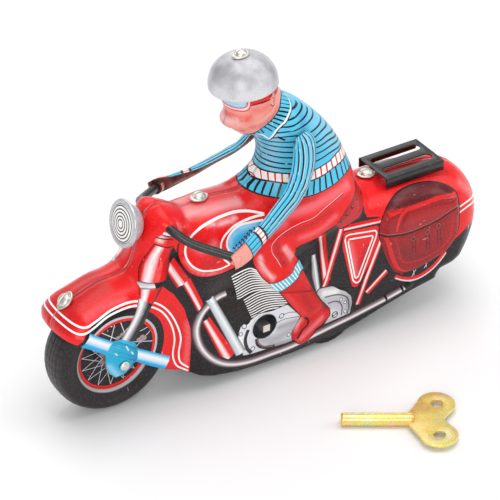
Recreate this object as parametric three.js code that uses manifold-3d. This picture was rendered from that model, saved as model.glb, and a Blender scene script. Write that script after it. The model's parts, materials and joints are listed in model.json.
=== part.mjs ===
// A wind-up tin motorcycle with its rider, pressed from printed sheet, and its loose winding key.
// Millimetres, +Z up. The toy drives towards -X, its left side faces -Y.
import * as THREE from 'three';
import { mergeVertices } from 'three/addons/utils/BufferGeometryUtils.js';
import Module from 'manifold-3d';

const wasm = await Module();
wasm.setup();

// ---------------------------------------------------------------- driving dimensions

const SEAM_PITCH = 4;         // spacing of the shell's corners along its rim
const GRID_PITCH = 8;         // and across its sides
const SHEET = 0.6;            // tinplate, with its print and lacquer
const GAP = 0.3;              // clearance between neighbouring pieces
const SEAM_GAP = 0.15;        // each half shell stops this far from the centre plane
const LIP = 0.35;             // straight rim of each half where the two meet

const BODY_HALF = 15.5;       // half width across the engine
const FORK_HALF = 14.2;       // half width across the front mudguard and fork
const TIP_HALF = 12.4;        // half width of the fork's ends at the axle
const NECK_HALF = 10.4;       // half width of the steering head
const HEAD_HALF = 8.8;        // half width of the rider's head
const CHEST_HALF = 13.6;      // half width of the rider's chest

const FRONT_WHEEL = { x: -2.4, z: 24.2, radius: 24.2, half: 7.6 };
const BOSS = { x: -2.9, z: 27.8, a: 6.9, b: 8.8, rise: 1.0 };   // stands out of the fork over the axle
const AXLE_RADIUS = 1.1;

const MODULE = 0.7;           // gear tooth module
const TEETH = { great: 42, pinion: 10, second: 30, governor: 8 };
const TOOTH_FOOT = 0.27;      // half width of a tooth at its foot, as a share of the pitch
const TOOTH_TIP = 0.1;        // and at its tip; both leave backlash
const ARBOR = { x: 57.4, z: 20.9 };
const CLICK = { x: 61.5, z: 28, turn: 0.42 };
const DRIVE = { x: 88.5, z: 12.5, radius: 12.5 };
const MOTOR_HALF = 9.0;       // inner face of each motor plate
const PLATE = 0.6;
const WINDING_HOLE = 5.4;

const HELMET = { x: 57.9, z: 120.3, radius: 13, height: 11.1, tilt: 0.09 };
const HELMET_CLIP = { x: 56.9, z: 131.9, turn: -0.09 };
const LAMP = { x: 5.2, z: 76.6, radius: 9.1, tilt: 0.22 };
const BAR_RADIUS = 1.7;
const RACK = { x0: 116.5, x1: 143.2, half: 9.6, z: 63.6, drop: 4.4 };
const KEY = { x: 84.6, y: -73, turn: -0.56, shank: 27, tubeRadius: 2.5 };

// ---------------------------------------------------------------- materials

function paint(hex, roughness, metalness) {
  return new THREE.MeshStandardMaterial({ color: hex, roughness, metalness });
}

const RED = paint(0xe3221f, 0.32, 0.2);
const BLUE = paint(0x5cc3ea, 0.34, 0.2);
const SILVER_PAINT = paint(0xb9bac0, 0.4, 0.3);
const WHITE = paint(0xf2f2f0, 0.35, 0.1);
const BLACK_ENAMEL = paint(0x222124, 0.45, 0.3);
const NICKEL = paint(0xd8d8d6, 0.2, 0.9);
const STEEL = paint(0x9a9ca0, 0.35, 0.9);
const BRASS = paint(0xc9a44e, 0.3, 0.9);
const ZINC = paint(0xcdb15a, 0.3, 0.85);
const SPRING_STEEL = paint(0x4a5670, 0.3, 0.9);
const RUBBER = paint(0x1b1b1c, 0.8, 0);
const TYRE_TIN = paint(0x2b2a2d, 0.4, 0.2);

// ---------------------------------------------------------------- solids

function bare(geometry) {
  const copy = geometry.clone();
  copy.deleteAttribute('normal');
  copy.deleteAttribute('uv');
  return mergeVertices(copy, 1e-5);
}

function solid(geometry) {
  const merged = bare(geometry);
  const position = merged.attributes.position.array;
  const index = merged.index.array;
  const kept = [];
  for (let i = 0; i < index.length; i += 3) {
    const [a, b, c] = [index[i], index[i + 1], index[i + 2]];
    if (a !== b && b !== c && c !== a) kept.push(a, b, c);
  }
  return new wasm.Manifold(new wasm.Mesh({
    numProp: 3,
    vertProperties: new Float32Array(position),
    triVerts: new Uint32Array(kept),
  }));
}

function geometryOf(manifold) {
  const mesh = manifold.getMesh();
  const geometry = new THREE.BufferGeometry();
  geometry.setAttribute('position', new THREE.BufferAttribute(new Float32Array(mesh.vertProperties), 3));
  geometry.setIndex(new THREE.BufferAttribute(new Uint32Array(mesh.triVerts), 1));
  return geometry;
}

function joined(...geometries) {
  return geometryOf(geometries.map(solid).reduce((sum, piece) => sum.add(piece)));
}

function cut(geometry, ...tools) {
  return geometryOf(tools.map(solid).reduce((left, tool) => left.subtract(tool), solid(geometry)));
}

function moved(geometry, x = 0, y = 0, z = 0) {
  return geometry.clone().translate(x, y, z);
}

// A plate drawn in the side view (x, z), from y0 to y1.
function sidePlate(shape, y0, y1) {
  const settings = { depth: y1 - y0, bevelEnabled: false, curveSegments: 10 };
  const geometry = new THREE.ExtrudeGeometry(shape, settings);
  return geometry.rotateX(Math.PI / 2).translate(0, y1, 0);
}

// A plate drawn in the plan view (x, y), from z0 to z1.
function flatPlate(shape, z0, z1, curveSegments = 6) {
  const geometry = new THREE.ExtrudeGeometry(shape, { depth: z1 - z0, bevelEnabled: false, curveSegments });
  return geometry.translate(0, 0, z0);
}

function shapeOf(points, holes = []) {
  const shape = new THREE.Shape(points.map(([x, y]) => new THREE.Vector2(x, y)));
  holes.forEach((hole) => shape.holes.push(new THREE.Path(hole.map(([x, y]) => new THREE.Vector2(x, y)))));
  return shape;
}

function circlePoints(x, z, radius, count) {
  return Array.from({ length: count }, (_, i) => {
    const angle = (2 * Math.PI * i) / count;
    return [x + radius * Math.cos(angle), z + radius * Math.sin(angle)];
  });
}

// A solid of revolution about an axle along Y; the profile is a closed list of [radius, y].
function turned(profile, segments = 28) {
  return new THREE.LatheGeometry(profile.map(([r, y]) => new THREE.Vector2(r, y)), segments);
}

function rodY(radius, y0, y1, segments = 16) {
  return turned([[0, y0], [radius, y0], [radius, y1], [0, y1]], segments);
}

function ringY(inner, outer, y0, y1, segments = 28) {
  return turned([[inner, y0], [outer, y0], [outer, y1], [inner, y1], [inner, y0]], segments);
}

// ---------------------------------------------------------------- triangulation of a side view outline

function circumcircle(a, b, c) {
  const d = 2 * (a[0] * (b[1] - c[1]) + b[0] * (c[1] - a[1]) + c[0] * (a[1] - b[1]));
  const [aa, bb, cc] = [a, b, c].map(([x, z]) => x * x + z * z);
  const x = (aa * (b[1] - c[1]) + bb * (c[1] - a[1]) + cc * (a[1] - b[1])) / d;
  const z = (aa * (c[0] - b[0]) + bb * (a[0] - c[0]) + cc * (b[0] - a[0])) / d;
  return { x, z, square: (x - a[0]) ** 2 + (z - a[1]) ** 2 };
}

// Delaunay triangles of scattered points, by inserting one point after another.
function delaunay(points) {
  const far = 5000;
  const all = [...points, [-far, -far], [far, -far], [0, far]];
  const first = points.length;
  const triangle = (i, j, k) => ({ corners: [i, j, k], circle: circumcircle(all[i], all[j], all[k]) });
  let triangles = [triangle(first, first + 1, first + 2)];
  points.forEach(([x, z], index) => {
    const open = new Map();
    const kept = [];
    for (const t of triangles) {
      const inside = (x - t.circle.x) ** 2 + (z - t.circle.z) ** 2 < t.circle.square;
      if (!inside) {
        kept.push(t);
        continue;
      }
      t.corners.forEach((from, k) => {
        const to = t.corners[(k + 1) % 3];
        if (open.has(`${to},${from}`)) open.delete(`${to},${from}`);
        else open.set(`${from},${to}`, [from, to]);
      });
    }
    for (const [from, to] of open.values()) kept.push(triangle(from, to, index));
    triangles = kept;
  });
  return triangles.map((t) => t.corners).filter((corners) => corners.every((i) => i < first));
}

function contains(polygon, x, z) {
  let inside = false;
  for (let i = 0, j = polygon.length - 1; i < polygon.length; j = i, i += 1) {
    const [[ax, az], [bx, bz]] = [polygon[i], polygon[j]];
    if ((az > z) !== (bz > z) && x < ax + ((bx - ax) * (z - az)) / (bz - az)) inside = !inside;
  }
  return inside;
}

// Distance to an open line of [x, z, crown] points, and the crown radius at the nearest place.
function nearest(line, x, z) {
  let best = { distance: Infinity, crown: 0 };
  for (let i = 0; i + 1 < line.length; i += 1) {
    const [ax, az, ac] = line[i];
    const [bx, bz, bc] = line[i + 1];
    const [dx, dz] = [bx - ax, bz - az];
    const t = THREE.MathUtils.clamp(((x - ax) * dx + (z - az) * dz) / (dx * dx + dz * dz), 0, 1);
    const distance = Math.hypot(x - ax - t * dx, z - az - t * dz);
    if (distance < best.distance) best = { distance, crown: ac + t * (bc - ac) };
  }
  return best;
}

// Points along a smooth line through the given ones, at an even pitch.
function smoothLine(points, pitch) {
  const curve = new THREE.CatmullRomCurve3(points.map((p) => new THREE.Vector3(...p)), false, 'centripetal');
  const count = Math.round(curve.getLength() / pitch);
  return curve.getSpacedPoints(count).map((p) => [p.x, p.y, p.z]);
}

// ---------------------------------------------------------------- half shells of motorcycle and rider

// Where the two halves meet, from the mudguard's nose over the rider to the tail: x, z, crown radius.
const SEAM = [
  [-25.4, 41.6, 6], [-25.2, 44, 6], [-23.4, 47, 7], [-19.7, 50.2, 8], [-14.7, 52.6, 10], [-4.7, 55.6, 11],
  [2.8, 56, 10], [6.6, 57.2, 9], [8.8, 60.6, 9], [10.9, 67, 9], [13.2, 74.5, 9], [16.2, 79.2, 9],
  [20.2, 80.8, 9], [25.6, 78.5, 10], [30.5, 75.9, 12], [36, 75.8, 14], [43, 76.3, 14], [50.3, 75.6, 13],
  [55.8, 75.5, 12], [60.6, 78.4, 15], [64.1, 82.4, 17], [65.2, 87, 17], [64.3, 92.4, 16], [61.8, 96.8, 13],
  [57, 98.6, 9], [53.8, 101, 9], [51.6, 103, 9], [49.4, 104.5, 9], [49.5, 106.6, 10], [50.7, 109.6, 12],
  [49.7, 113.4, 12], [49.4, 117.5, 12], [50.2, 121.8, 11], [54, 126, 10], [60, 127, 10], [67, 122.5, 10],
  [71.2, 116.2, 9],
  [74.5, 111.4, 9], [82, 105.6, 10], [89.2, 98.4, 11], [95.2, 90.6, 12], [99.8, 82, 12], [103, 73.5, 12],
  [104.8, 66.4, 11], [106.6, 62.6, 10], [111, 61.6, 11], [118, 60.8, 13], [130, 60.6, 14], [142, 59.4, 14],
  [151, 56.4, 13], [157.4, 50.4, 13], [161, 43, 13], [161.8, 35, 13], [160.6, 27.5, 13], [157.4, 20.4, 12],
  [153, 15.6, 10], [147.6, 13.6, 8], [142, 13.4, 6.5],
];

// The open lower edge, from the tail back to the nose: the body, the skirt and the fork's cross bar.
const LOWER_EDGE = [
  [136, 14.2], [129.6, 13.2], [123, 11.9], [112.7, 9.6], [101.9, 6.8], [94.8, 5.2], [84, 4.2],
  [70, 3.6], [54, 3.8], [45.4, 4.4],
  [35.5, 6.2], [29.3, 8.2], [25, 10.7], [15.8, 14.8], [9.5, 18.8], [4.2, 22.6], [2.8, 23.4],
  [0.8, 21.4], [-1.5, 19.6], [-5.5, 19.2], [-8.1, 21.8], [-9.6, 26.9], [-9.9, 31.4], [-16, 36.4],
  [-21.5, 40.4],
];

const NECK_LINE = { x: 64, z: 101.6, nx: -0.80, nz: 0.60 };   // head side of the collar is positive

function blend(a, b, t) {
  const s = THREE.MathUtils.smoothstep(t, 0, 1);
  return a + (b - a) * s;
}

// Half width of the pressing at a place in the side view, before its edges round over.
function halfWidth(x, z) {
  if (z > 92) {
    const overCollar = (x - NECK_LINE.x) * NECK_LINE.nx + (z - NECK_LINE.z) * NECK_LINE.nz;
    return blend(CHEST_HALF, HEAD_HALF, (overCollar + 5) / 7);
  }
  const fork = blend(TIP_HALF, FORK_HALF, (z - FRONT_WHEEL.z) / 22);
  const front = blend(fork, BODY_HALF, (x - 24) / 14);
  const neck = blend(front, NECK_HALF, (z - 56) / 9);
  const body = blend(neck, BODY_HALF, (x - 20) / 16);
  return blend(body, CHEST_HALF, (z - 68) / 12);
}

// Raised shapes pressed into the sides: the saddlebag, the rider's leg and the axle boss.
const BAG = { x: 127.5, z: 42.5, a: 18.6, b: 19.2, rise: 2.2 };
const THIGH = [[96, 64], [80, 60], [60, 54]];
const SHIN = [[60, 54], [66, 40], [80, 24]];

function capsule(points, x, z) {
  return nearest(points.map(([px, pz]) => [px, pz, 0]), x, z).distance;
}

function relief(x, z) {
  const bag = Math.hypot((x - BAG.x) / BAG.a, (z - BAG.z) / BAG.b);
  const bagRise = BAG.rise * (1 - THREE.MathUtils.smoothstep(bag, 0.8, 1));
  const thigh = 1.8 * (1 - THREE.MathUtils.smoothstep(capsule(THIGH, x, z), 5, 10));
  const shin = 1.6 * (1 - THREE.MathUtils.smoothstep(capsule(SHIN, x, z), 4, 8));
  const boss = Math.hypot((x - BOSS.x) / BOSS.a, (z - BOSS.z) / BOSS.b);
  const bossRise = BOSS.rise * (1 - THREE.MathUtils.smoothstep(boss, 0.75, 1));
  return Math.max(bagRise, thigh, shin, bossRise);
}

// How far the sheet's face stands from the centre plane; inset is 0 outside, SHEET inside.
function faceHeight(line, x, z, inset) {
  const { distance, crown } = nearest(line, x, z);
  const depth = THREE.MathUtils.clamp((distance - inset) / (crown - inset), 0, 1);
  const round = Math.sqrt(Math.max(0, 1 - (1 - depth) ** 2));
  return (halfWidth(x, z) + relief(x, z) - inset) * round;
}

// Left normal offset of a line of points, by a distance.
function offsetLine(line, distance) {
  return line.map(([x, z], i) => {
    const [ax, az] = line[Math.max(i - 1, 0)];
    const [bx, bz] = line[Math.min(i + 1, line.length - 1)];
    const length = Math.hypot(bx - ax, bz - az);
    return [x + ((bz - az) / length) * distance, z - ((bx - ax) / length) * distance];
  });
}

// A solid between a base plane and the pressed face, over an outline in the side view.
function pressedSolid(line, outline, inset, base) {
  const points = outline.map(([x, z]) => [x, z]);
  const clear = (x, z, least) => points.every(([px, pz]) => Math.hypot(px - x, pz - z) > least);
  for (const offset of [1, 3.2, 7]) {
    const row = offsetLine(line, offset + inset);
    row.forEach(([x, z], i) => {
      const rightPlace = Math.abs(nearest(line, x, z).distance - offset - inset) < 0.05 * offset;
      if ((offset < 5 || i % 2 === 0) && rightPlace && contains(outline, x, z) && clear(x, z, 0.8)) {
        points.push([x, z]);
      }
    });
  }
  const pitch = GRID_PITCH;
  for (let row = 0; row * pitch * 0.866 < 130; row += 1) {
    for (let column = 0; column * pitch < 190; column += 1) {
      const x = -26 + (column + (row % 2) / 2) * pitch;
      const z = 2 + row * pitch * 0.866;
      const deep = nearest(line, x, z).distance > 10;
      if (deep && contains(outline, x, z) && clear(x, z, 2.2)) points.push([x, z]);
    }
  }
  const triangles = delaunay(points).filter((corners) => {
    const x = corners.reduce((sum, i) => sum + points[i][0], 0) / 3;
    const z = corners.reduce((sum, i) => sum + points[i][1], 0) / 3;
    return contains(outline, x, z);
  });
  const face = points.map(([x, z]) => {
    const height = faceHeight(line, x, z, inset);
    return [x, -SEAM_GAP - Math.max(height, inset ? 0 : LIP), z];
  });
  const flat = points.map(([x, z]) => [x, base, z]);
  return closedBetween(face, flat, triangles);
}

// Closes the space between two layers of the same points, the first towards -Y.
function closedBetween(face, flat, triangles) {
  const edges = new Set();
  const index = [];
  const count = face.length;
  for (const [i, j, k] of triangles) {
    index.push(i, j, k, count + i, count + k, count + j);
    [[i, j], [j, k], [k, i]].forEach(([from, to]) => edges.add(`${from},${to}`));
  }
  for (const edge of edges) {
    const [from, to] = edge.split(',').map(Number);
    if (!edges.has(`${to},${from}`)) index.push(to, from, count + from, to, count + from, count + to);
  }
  const geometry = new THREE.BufferGeometry();
  geometry.setAttribute('position', new THREE.Float32BufferAttribute([...face, ...flat].flat(), 3));
  geometry.setIndex(index);
  return geometry;
}

function leftShellBlank() {
  const line = smoothLine(SEAM, SEAM_PITCH);
  const outer = [...line.map(([x, z]) => [x, z]), ...LOWER_EDGE];
  const lowered = LOWER_EDGE.map(([x, z]) => [x, z - 3]);
  const inner = [...offsetLine(line, SHEET), [141.6, 10.4], ...lowered, [-24.4, 38.6]];
  return cut(pressedSolid(line, outer, 0, -SEAM_GAP), pressedSolid(line, inner, SHEET, 1));
}

const BLANK = leftShellBlank();

// The handlebar: one tube bent on both sides and passing through the steering head.
const BAR_ROUTE = [
  [36.6, 28.2, 66.6], [24.4, 17.6, 71.4], [21.2, 13.4, 73.8], [19.8, 10, 75.2], [19.4, 5, 75.6],
];

function barTube(radius) {
  const right = BAR_ROUTE.map(([x, y, z]) => new THREE.Vector3(x, y, z));
  const left = right.map((p) => new THREE.Vector3(p.x, -p.y, p.z)).reverse();
  const path = new THREE.CatmullRomCurve3([...right, ...left], false, 'centripetal');
  const section = new THREE.Shape(circlePoints(0, 0, radius, 10).map(([x, y]) => new THREE.Vector2(x, y)));
  return new THREE.ExtrudeGeometry(section, { steps: 32, extrudePath: path, bevelEnabled: false });
}

function axleHole() {
  return moved(rodY(AXLE_RADIUS + GAP, -30, 0), FRONT_WHEEL.x, 0, FRONT_WHEEL.z);
}

function leftShell() {
  const windingHole = moved(rodY(WINDING_HOLE, -30, 0, 24), ARBOR.x, 0, ARBOR.z);
  return cut(BLANK, axleHole(), barTube(BAR_RADIUS + GAP), windingHole);
}

function mirrored(geometry) {
  const copy = geometry.clone().scale(1, -1, 1);
  const index = Array.from(copy.index.array);
  for (let i = 0; i < index.length; i += 3) [index[i + 1], index[i + 2]] = [index[i + 2], index[i + 1]];
  copy.setIndex(index);
  return copy;
}

function rightShell() {
  return mirrored(cut(BLANK, axleHole(), barTube(BAR_RADIUS + GAP)));
}

// ---------------------------------------------------------------- wheels

const TYRE_PROFILE = [
  [16.9, 6.6], [18.6, 7.4], [20.8, 7.5], [22.8, 6.2], [23.9, 3.8], [24.2, 1.6], [24.2, SEAM_GAP],
];
const DISC_PROFILE = [[2.4, 6.2], [4.4, 6.2], [5.4, 4.9], [14.6, 4.9], [15.4, 6.2]];

// One pressed half of the front wheel: hub boss, dished disc, rim ring and tyre in one sheet.
function wheelHalf(side) {
  const outer = [...DISC_PROFILE, ...TYRE_PROFILE];
  const inner = [[23.6, SEAM_GAP], [22.6, 5.2], [20.5, 6.9], [18.8, 6.8], [15.4, 5.3], [14.6, 4.3],
    [2.4, 4.3]];
  const profile = [...outer, ...inner, outer[0]].map(([r, y]) => [r, -y]);
  const geometry = turned(profile, 28);
  return side < 0 ? geometry : mirrored(bare(geometry));
}

function frontAxle() {
  const head = TIP_HALF + BOSS.rise + SEAM_GAP + GAP;
  return turned([
    [0, -head - 1.2], [1, -head - 1.1], [1.8, -head - 0.6], [2.1, -head],
    [AXLE_RADIUS, -head], [AXLE_RADIUS, head],
    [2.1, head], [1.8, head + 0.6], [1, head + 1.1], [0, head + 1.2],
  ], 20);
}

function spacerTube() {
  return ringY(AXLE_RADIUS + GAP, 2.1, -TIP_HALF + GAP, TIP_HALF - GAP, 16);
}

function driveWheel() {
  return turned([
    [1.4, -1.5], [3.6, -1.5], [4.2, -0.6], [8.8, -0.6], [9.6, -1.6], [10, -1.6], [10, 1.6], [9.4, 1.6],
    [8.8, 0.6], [1.4, 0.6], [1.4, -1.5],
  ], 24);
}

function driveTyre() {
  return turned([
    [10.3, -1.6], [11.4, -1.7], [12.3, -1.2], [DRIVE.radius, -0.5], [DRIVE.radius, 0.5], [12.3, 1.2],
    [11.4, 1.7], [10.3, 1.6], [10.3, -1.6],
  ], 24);
}

// ---------------------------------------------------------------- clockwork

function gearOutline(teeth, phase) {
  const pitch = (MODULE * teeth) / 2;
  const [tip, root] = [pitch + 0.8 * MODULE, pitch - 1.1 * MODULE];
  const step = (2 * Math.PI) / teeth;
  const points = [];
  for (let i = 0; i < teeth; i += 1) {
    const middle = phase + i * step;
    const corners = [[root, -TOOTH_FOOT], [tip, -TOOTH_TIP], [tip, TOOTH_TIP], [root, TOOTH_FOOT]];
    for (const [r, share] of corners) {
      points.push([r * Math.cos(middle + share * step), r * Math.sin(middle + share * step)]);
    }
  }
  return points;
}

function gear(teeth, phase, y0, y1, boreRadius, windows = 0) {
  const holes = [circlePoints(0, 0, boreRadius, 12)];
  const pitch = (MODULE * teeth) / 2;
  for (let i = 0; i < windows; i += 1) {
    const angle = (2 * Math.PI * (i + 0.5)) / windows;
    const [x, z] = [pitch * 0.56 * Math.cos(angle), pitch * 0.56 * Math.sin(angle)];
    holes.push(circlePoints(x, z, pitch * 0.17, 8));
  }
  return sidePlate(shapeOf(gearOutline(teeth, phase), holes), y0, y1);
}

const RADIUS = Object.fromEntries(Object.entries(TEETH).map(([name, teeth]) => [name, (MODULE * teeth) / 2]));
const TRAIN_ANGLE = Math.atan2(DRIVE.z - ARBOR.z, DRIVE.x - ARBOR.x);
const SECOND = {
  x: ARBOR.x + (RADIUS.great + RADIUS.pinion) * Math.cos(TRAIN_ANGLE),
  z: ARBOR.z + (RADIUS.great + RADIUS.pinion) * Math.sin(TRAIN_ANGLE),
};
const GOVERNOR_ANGLE = 1.83;
const GOVERNOR = {
  x: SECOND.x + (RADIUS.second + RADIUS.governor) * Math.cos(GOVERNOR_ANGLE),
  z: SECOND.z + (RADIUS.second + RADIUS.governor) * Math.sin(GOVERNOR_ANGLE),
};
const PALLET = { x: GOVERNOR.x, z: GOVERNOR.z + 8.4 };

// The tooth phase that puts a gap of the driven gear where a tooth of its driver points.
function gapFacing(angle, teeth) {
  return angle + Math.PI + Math.PI / teeth;
}

function ratchetWheel() {
  const points = [];
  for (let i = 0; i < 12; i += 1) {
    const a = (2 * Math.PI * i) / 12;
    points.push([5 * Math.cos(a), 5 * Math.sin(a)], [3.7 * Math.cos(a + 0.06), 3.7 * Math.sin(a + 0.06)]);
  }
  return sidePlate(shapeOf(points, [circlePoints(0, 0, 1.9, 12)]), -6, -5.2);
}

function click() {
  return sidePlate(shapeOf([
    [-1.3, -1.2], [1.3, -1.4], [1.6, 0.2], [1.2, 1.4], [-0.6, 1.6], [-3.6, 0.9], [-4.3, 0.1], [-2.2, -0.4],
  ], [circlePoints(0, 0, 0.7, 8)]), -6, -5.2);
}

function clickRivet() {
  return turned([
    [0, -8.1], [1.1, -8.1], [1.1, -7.9], [0.4, -7.9], [0.4, -4.9], [0, -4.9],
  ], 10);
}

function greatWheel() {
  const wheel = gear(TEETH.great, TRAIN_ANGLE, -7.6, -6.5, 1.9, 5);
  const rivetHole = rodY(0.75, -8, -6, 10);
  return cut(wheel, moved(rivetHole, CLICK.x - ARBOR.x, 0, CLICK.z - ARBOR.z));
}

function mainspring() {
  const turns = 5.25;
  const count = 72;
  const [outer, inner] = [[], []];
  for (let i = 0; i <= count; i += 1) {
    const t = i / count;
    const angle = 2 * Math.PI * turns * t;
    const r = 2.6 + 6.9 * t;
    outer.push([(r + 0.25) * Math.cos(angle), (r + 0.25) * Math.sin(angle)]);
    inner.push([(r - 0.25) * Math.cos(angle), (r - 0.25) * Math.sin(angle)]);
  }
  return sidePlate(shapeOf([...outer, ...inner.reverse()]), -4.6, 4.2);
}

// The winding arbor: a round shaft with a square end that the key fits.
function windingArbor() {
  const shaft = rodY(1.55, -10.2, 10.6, 16);
  const square = new THREE.BoxGeometry(3, 7.3, 3).translate(0, -13.75, 0);
  return joined(shaft, square);
}

function starWheel() {
  const points = [];
  for (let i = 0; i < 12; i += 1) {
    const a = (2 * Math.PI * i) / 12;
    points.push([3.4 * Math.cos(a - 0.16), 3.4 * Math.sin(a - 0.16)], [5.2 * Math.cos(a), 5.2 * Math.sin(a)]);
  }
  return sidePlate(shapeOf(points, [circlePoints(0, 0, 1, 10)]), 1.4, 2.2);
}

function pallet() {
  return sidePlate(shapeOf([
    [-4.4, -2.9], [-3.5, -3], [-2.6, -1.5], [2.6, -1.5], [3.5, -3], [4.4, -2.9], [3.6, 0.8], [1.2, 1.8],
    [-1.2, 1.8], [-3.6, 0.8],
  ], [circlePoints(0, 0, 0.9, 10)]), 1.3, 2.3);
}

const PILLARS = [[38, 12], [38.5, 27.5], [98.5, 24.5], [63.5, 41.5]];

function motorPlate(side) {
  const outline = [
    [34, 12], [40, 6.8], [72, 6.2], [99, 8.2], [103, 13], [103, 24], [98, 30], [86, 32], [80, 46], [66, 46],
    [60, 40], [44, 38], [34, 30],
  ];
  const shafts = [
    [ARBOR.x, ARBOR.z, 1.85], [SECOND.x, SECOND.z, 1.1], [GOVERNOR.x, GOVERNOR.z, 0.95],
    [PALLET.x, PALLET.z, 0.95], [DRIVE.x, DRIVE.z, 1.35], ...PILLARS.map(([x, z]) => [x, z, 1.2]),
  ];
  const holes = shafts.map(([x, z, r]) => circlePoints(x, z, r, 10));
  const inner = side * MOTOR_HALF;
  const outer = side * (MOTOR_HALF + PLATE);
  return sidePlate(shapeOf(outline, holes), Math.min(inner, outer), Math.max(inner, outer));
}

function pillar() {
  const shoulder = MOTOR_HALF - GAP;
  const head = MOTOR_HALF + PLATE + GAP;
  return turned([
    [0, -head - 0.6], [1.7, -head - 0.6], [1.7, -head], [0.9, -head], [0.9, -shoulder], [1.8, -shoulder],
    [1.8, shoulder], [0.9, shoulder], [0.9, head], [1.7, head], [1.7, head + 0.6], [0, head + 0.6],
  ], 12);
}

// ---------------------------------------------------------------- fittings

// A pressed clip that holds the two halves together: an oval base, two ears and a slotted dome.
function seamClip(radius) {
  const base = new THREE.CylinderGeometry(radius * 1.04, radius * 1.1, 0.7, 24)
    .rotateX(Math.PI / 2).scale(1.25, 0.95, 1);
  const dome = new THREE.SphereGeometry(radius * 0.92, 20, 10).scale(1, 1, 0.62);
  const slot = new THREE.BoxGeometry(radius * 1.5, 0.5, 1).translate(0, 0, radius * 0.62);
  const below = new THREE.BoxGeometry(30, 30, 10).translate(0, 0, -5.2);
  return cut(joined(base, dome), slot, below);
}

function helmetDome() {
  const { radius, height } = HELMET;
  const outer = [];
  const inner = [];
  for (let i = 0; i <= 8; i += 1) {
    const a = (Math.PI / 2) * (i / 8);
    const swell = Math.sin(a) ** 0.9;
    outer.push(new THREE.Vector2(radius * swell, height * Math.cos(a)));
    inner.push(new THREE.Vector2((radius - SHEET) * swell, (height - SHEET) * Math.cos(a)));
  }
  const rim = [new THREE.Vector2(radius - 0.1, -0.9), new THREE.Vector2(radius - SHEET - 0.1, -0.9)];
  return new THREE.LatheGeometry([...outer, ...rim, ...inner.reverse()].reverse(), 24).rotateX(Math.PI / 2);
}

// The headlamp faces +Z here, with its bezel edge at the origin.
function lampCup() {
  return new THREE.LatheGeometry([
    [0, -7.9], [3.4, -7.6], [5.8, -6.4], [7.2, -4.3], [8, -2.3], [9.1, -1.9], [9.1, -0.9], [8.6, -0.5],
    [7.5, -0.7], [7.3, -1.9], [6.6, -4.1], [5.3, -5.9], [3.1, -7], [0, -7.3],
  ].map(([r, z]) => new THREE.Vector2(r, z)), 24).rotateX(Math.PI / 2);
}

function lampLens() {
  return new THREE.LatheGeometry([
    [0, -1.5], [7, -1.5], [7, -0.9], [4.8, -0.35], [0, 0],
  ].map(([r, z]) => new THREE.Vector2(r, z)), 28).rotateX(Math.PI / 2);
}

function luggageRack() {
  const { x0, x1, half, z, drop } = RACK;
  const slot = (y) => {
    const ends = [[x1 - 4.2, 0], [x0 + 4.2, Math.PI]];
    return ends.flatMap(([x, turn]) => Array.from({ length: 7 }, (_, i) => {
      const a = turn - Math.PI / 2 + (Math.PI * i) / 6;
      return [x + 1.7 * Math.cos(a), y + 1.7 * Math.sin(a)];
    }));
  };
  const outline = [[x0, -half], [x1, -half], [x1, half], [x0, half]];
  const top = flatPlate(shapeOf(outline, [slot(-3.9), slot(3.9)]), z - SHEET, z);
  const flange = (side) => new THREE.BoxGeometry(x1 - x0, SHEET, drop).translate(
    (x0 + x1) / 2, side * (half - SHEET / 2), z - drop / 2);
  return joined(top, flange(-1), flange(1));
}

// The tongue under the rack that holds it to the mudguard.
function rackTongue() {
  const { x0, x1, z } = RACK;
  return new THREE.BoxGeometry(x1 - x0 + 2.4, 2.2, 0.5).translate((x0 + x1) / 2 + 1.2, 0, z - SHEET - 0.7);
}

// Each arm is a channel pressed from sheet, open towards the body; its stations are
// [x, y, z of the ridge, half width, depth].
const ARM = [
  [73.8, 14.9, 100.2, 2.6, 0.6], [74.6, 16.6, 97.6, 4.4, 1.6], [74.6, 18.2, 91.5, 5, 2.6],
  [72.4, 20, 84.6, 5, 3], [67.6, 22.4, 79.2, 4.8, 3], [60, 24.8, 75.2, 4.3, 2.8], [52.4, 27, 71.6, 3.9, 2.6],
  [46.6, 28.8, 69.4, 3.9, 2.4], [41.6, 30.2, 67.6, 3.8, 1.9], [37.4, 30.5, 66.8, 3.4, 1.4],
];

function leftArm() {
  const ridge = ARM.map(([x, y, z]) => new THREE.Vector3(x, -y, z));
  const outward = new THREE.Vector3(0, -1, 0);
  const rings = ridge.map((place, i) => {
    const ahead = ridge[Math.min(i + 1, ridge.length - 1)].clone().sub(ridge[Math.max(i - 1, 0)]).normalize();
    const across = new THREE.Vector3().crossVectors(ahead, outward).normalize();
    const out = new THREE.Vector3().crossVectors(across, ahead).normalize();
    const [, , , half, depth] = ARM[i];
    const arc = (inset) => Array.from({ length: 9 }, (_, k) => {
      const a = -Math.PI / 2 + (Math.PI * k) / 8;
      return place.clone()
        .addScaledVector(across, (half - inset) * Math.sin(a))
        .addScaledVector(out, (depth - (inset ? SHEET : 0)) * Math.cos(a) - depth);
    });
    return [...arc(0), ...arc(SHEET).reverse()];
  });
  return lofted(rings);
}

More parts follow.
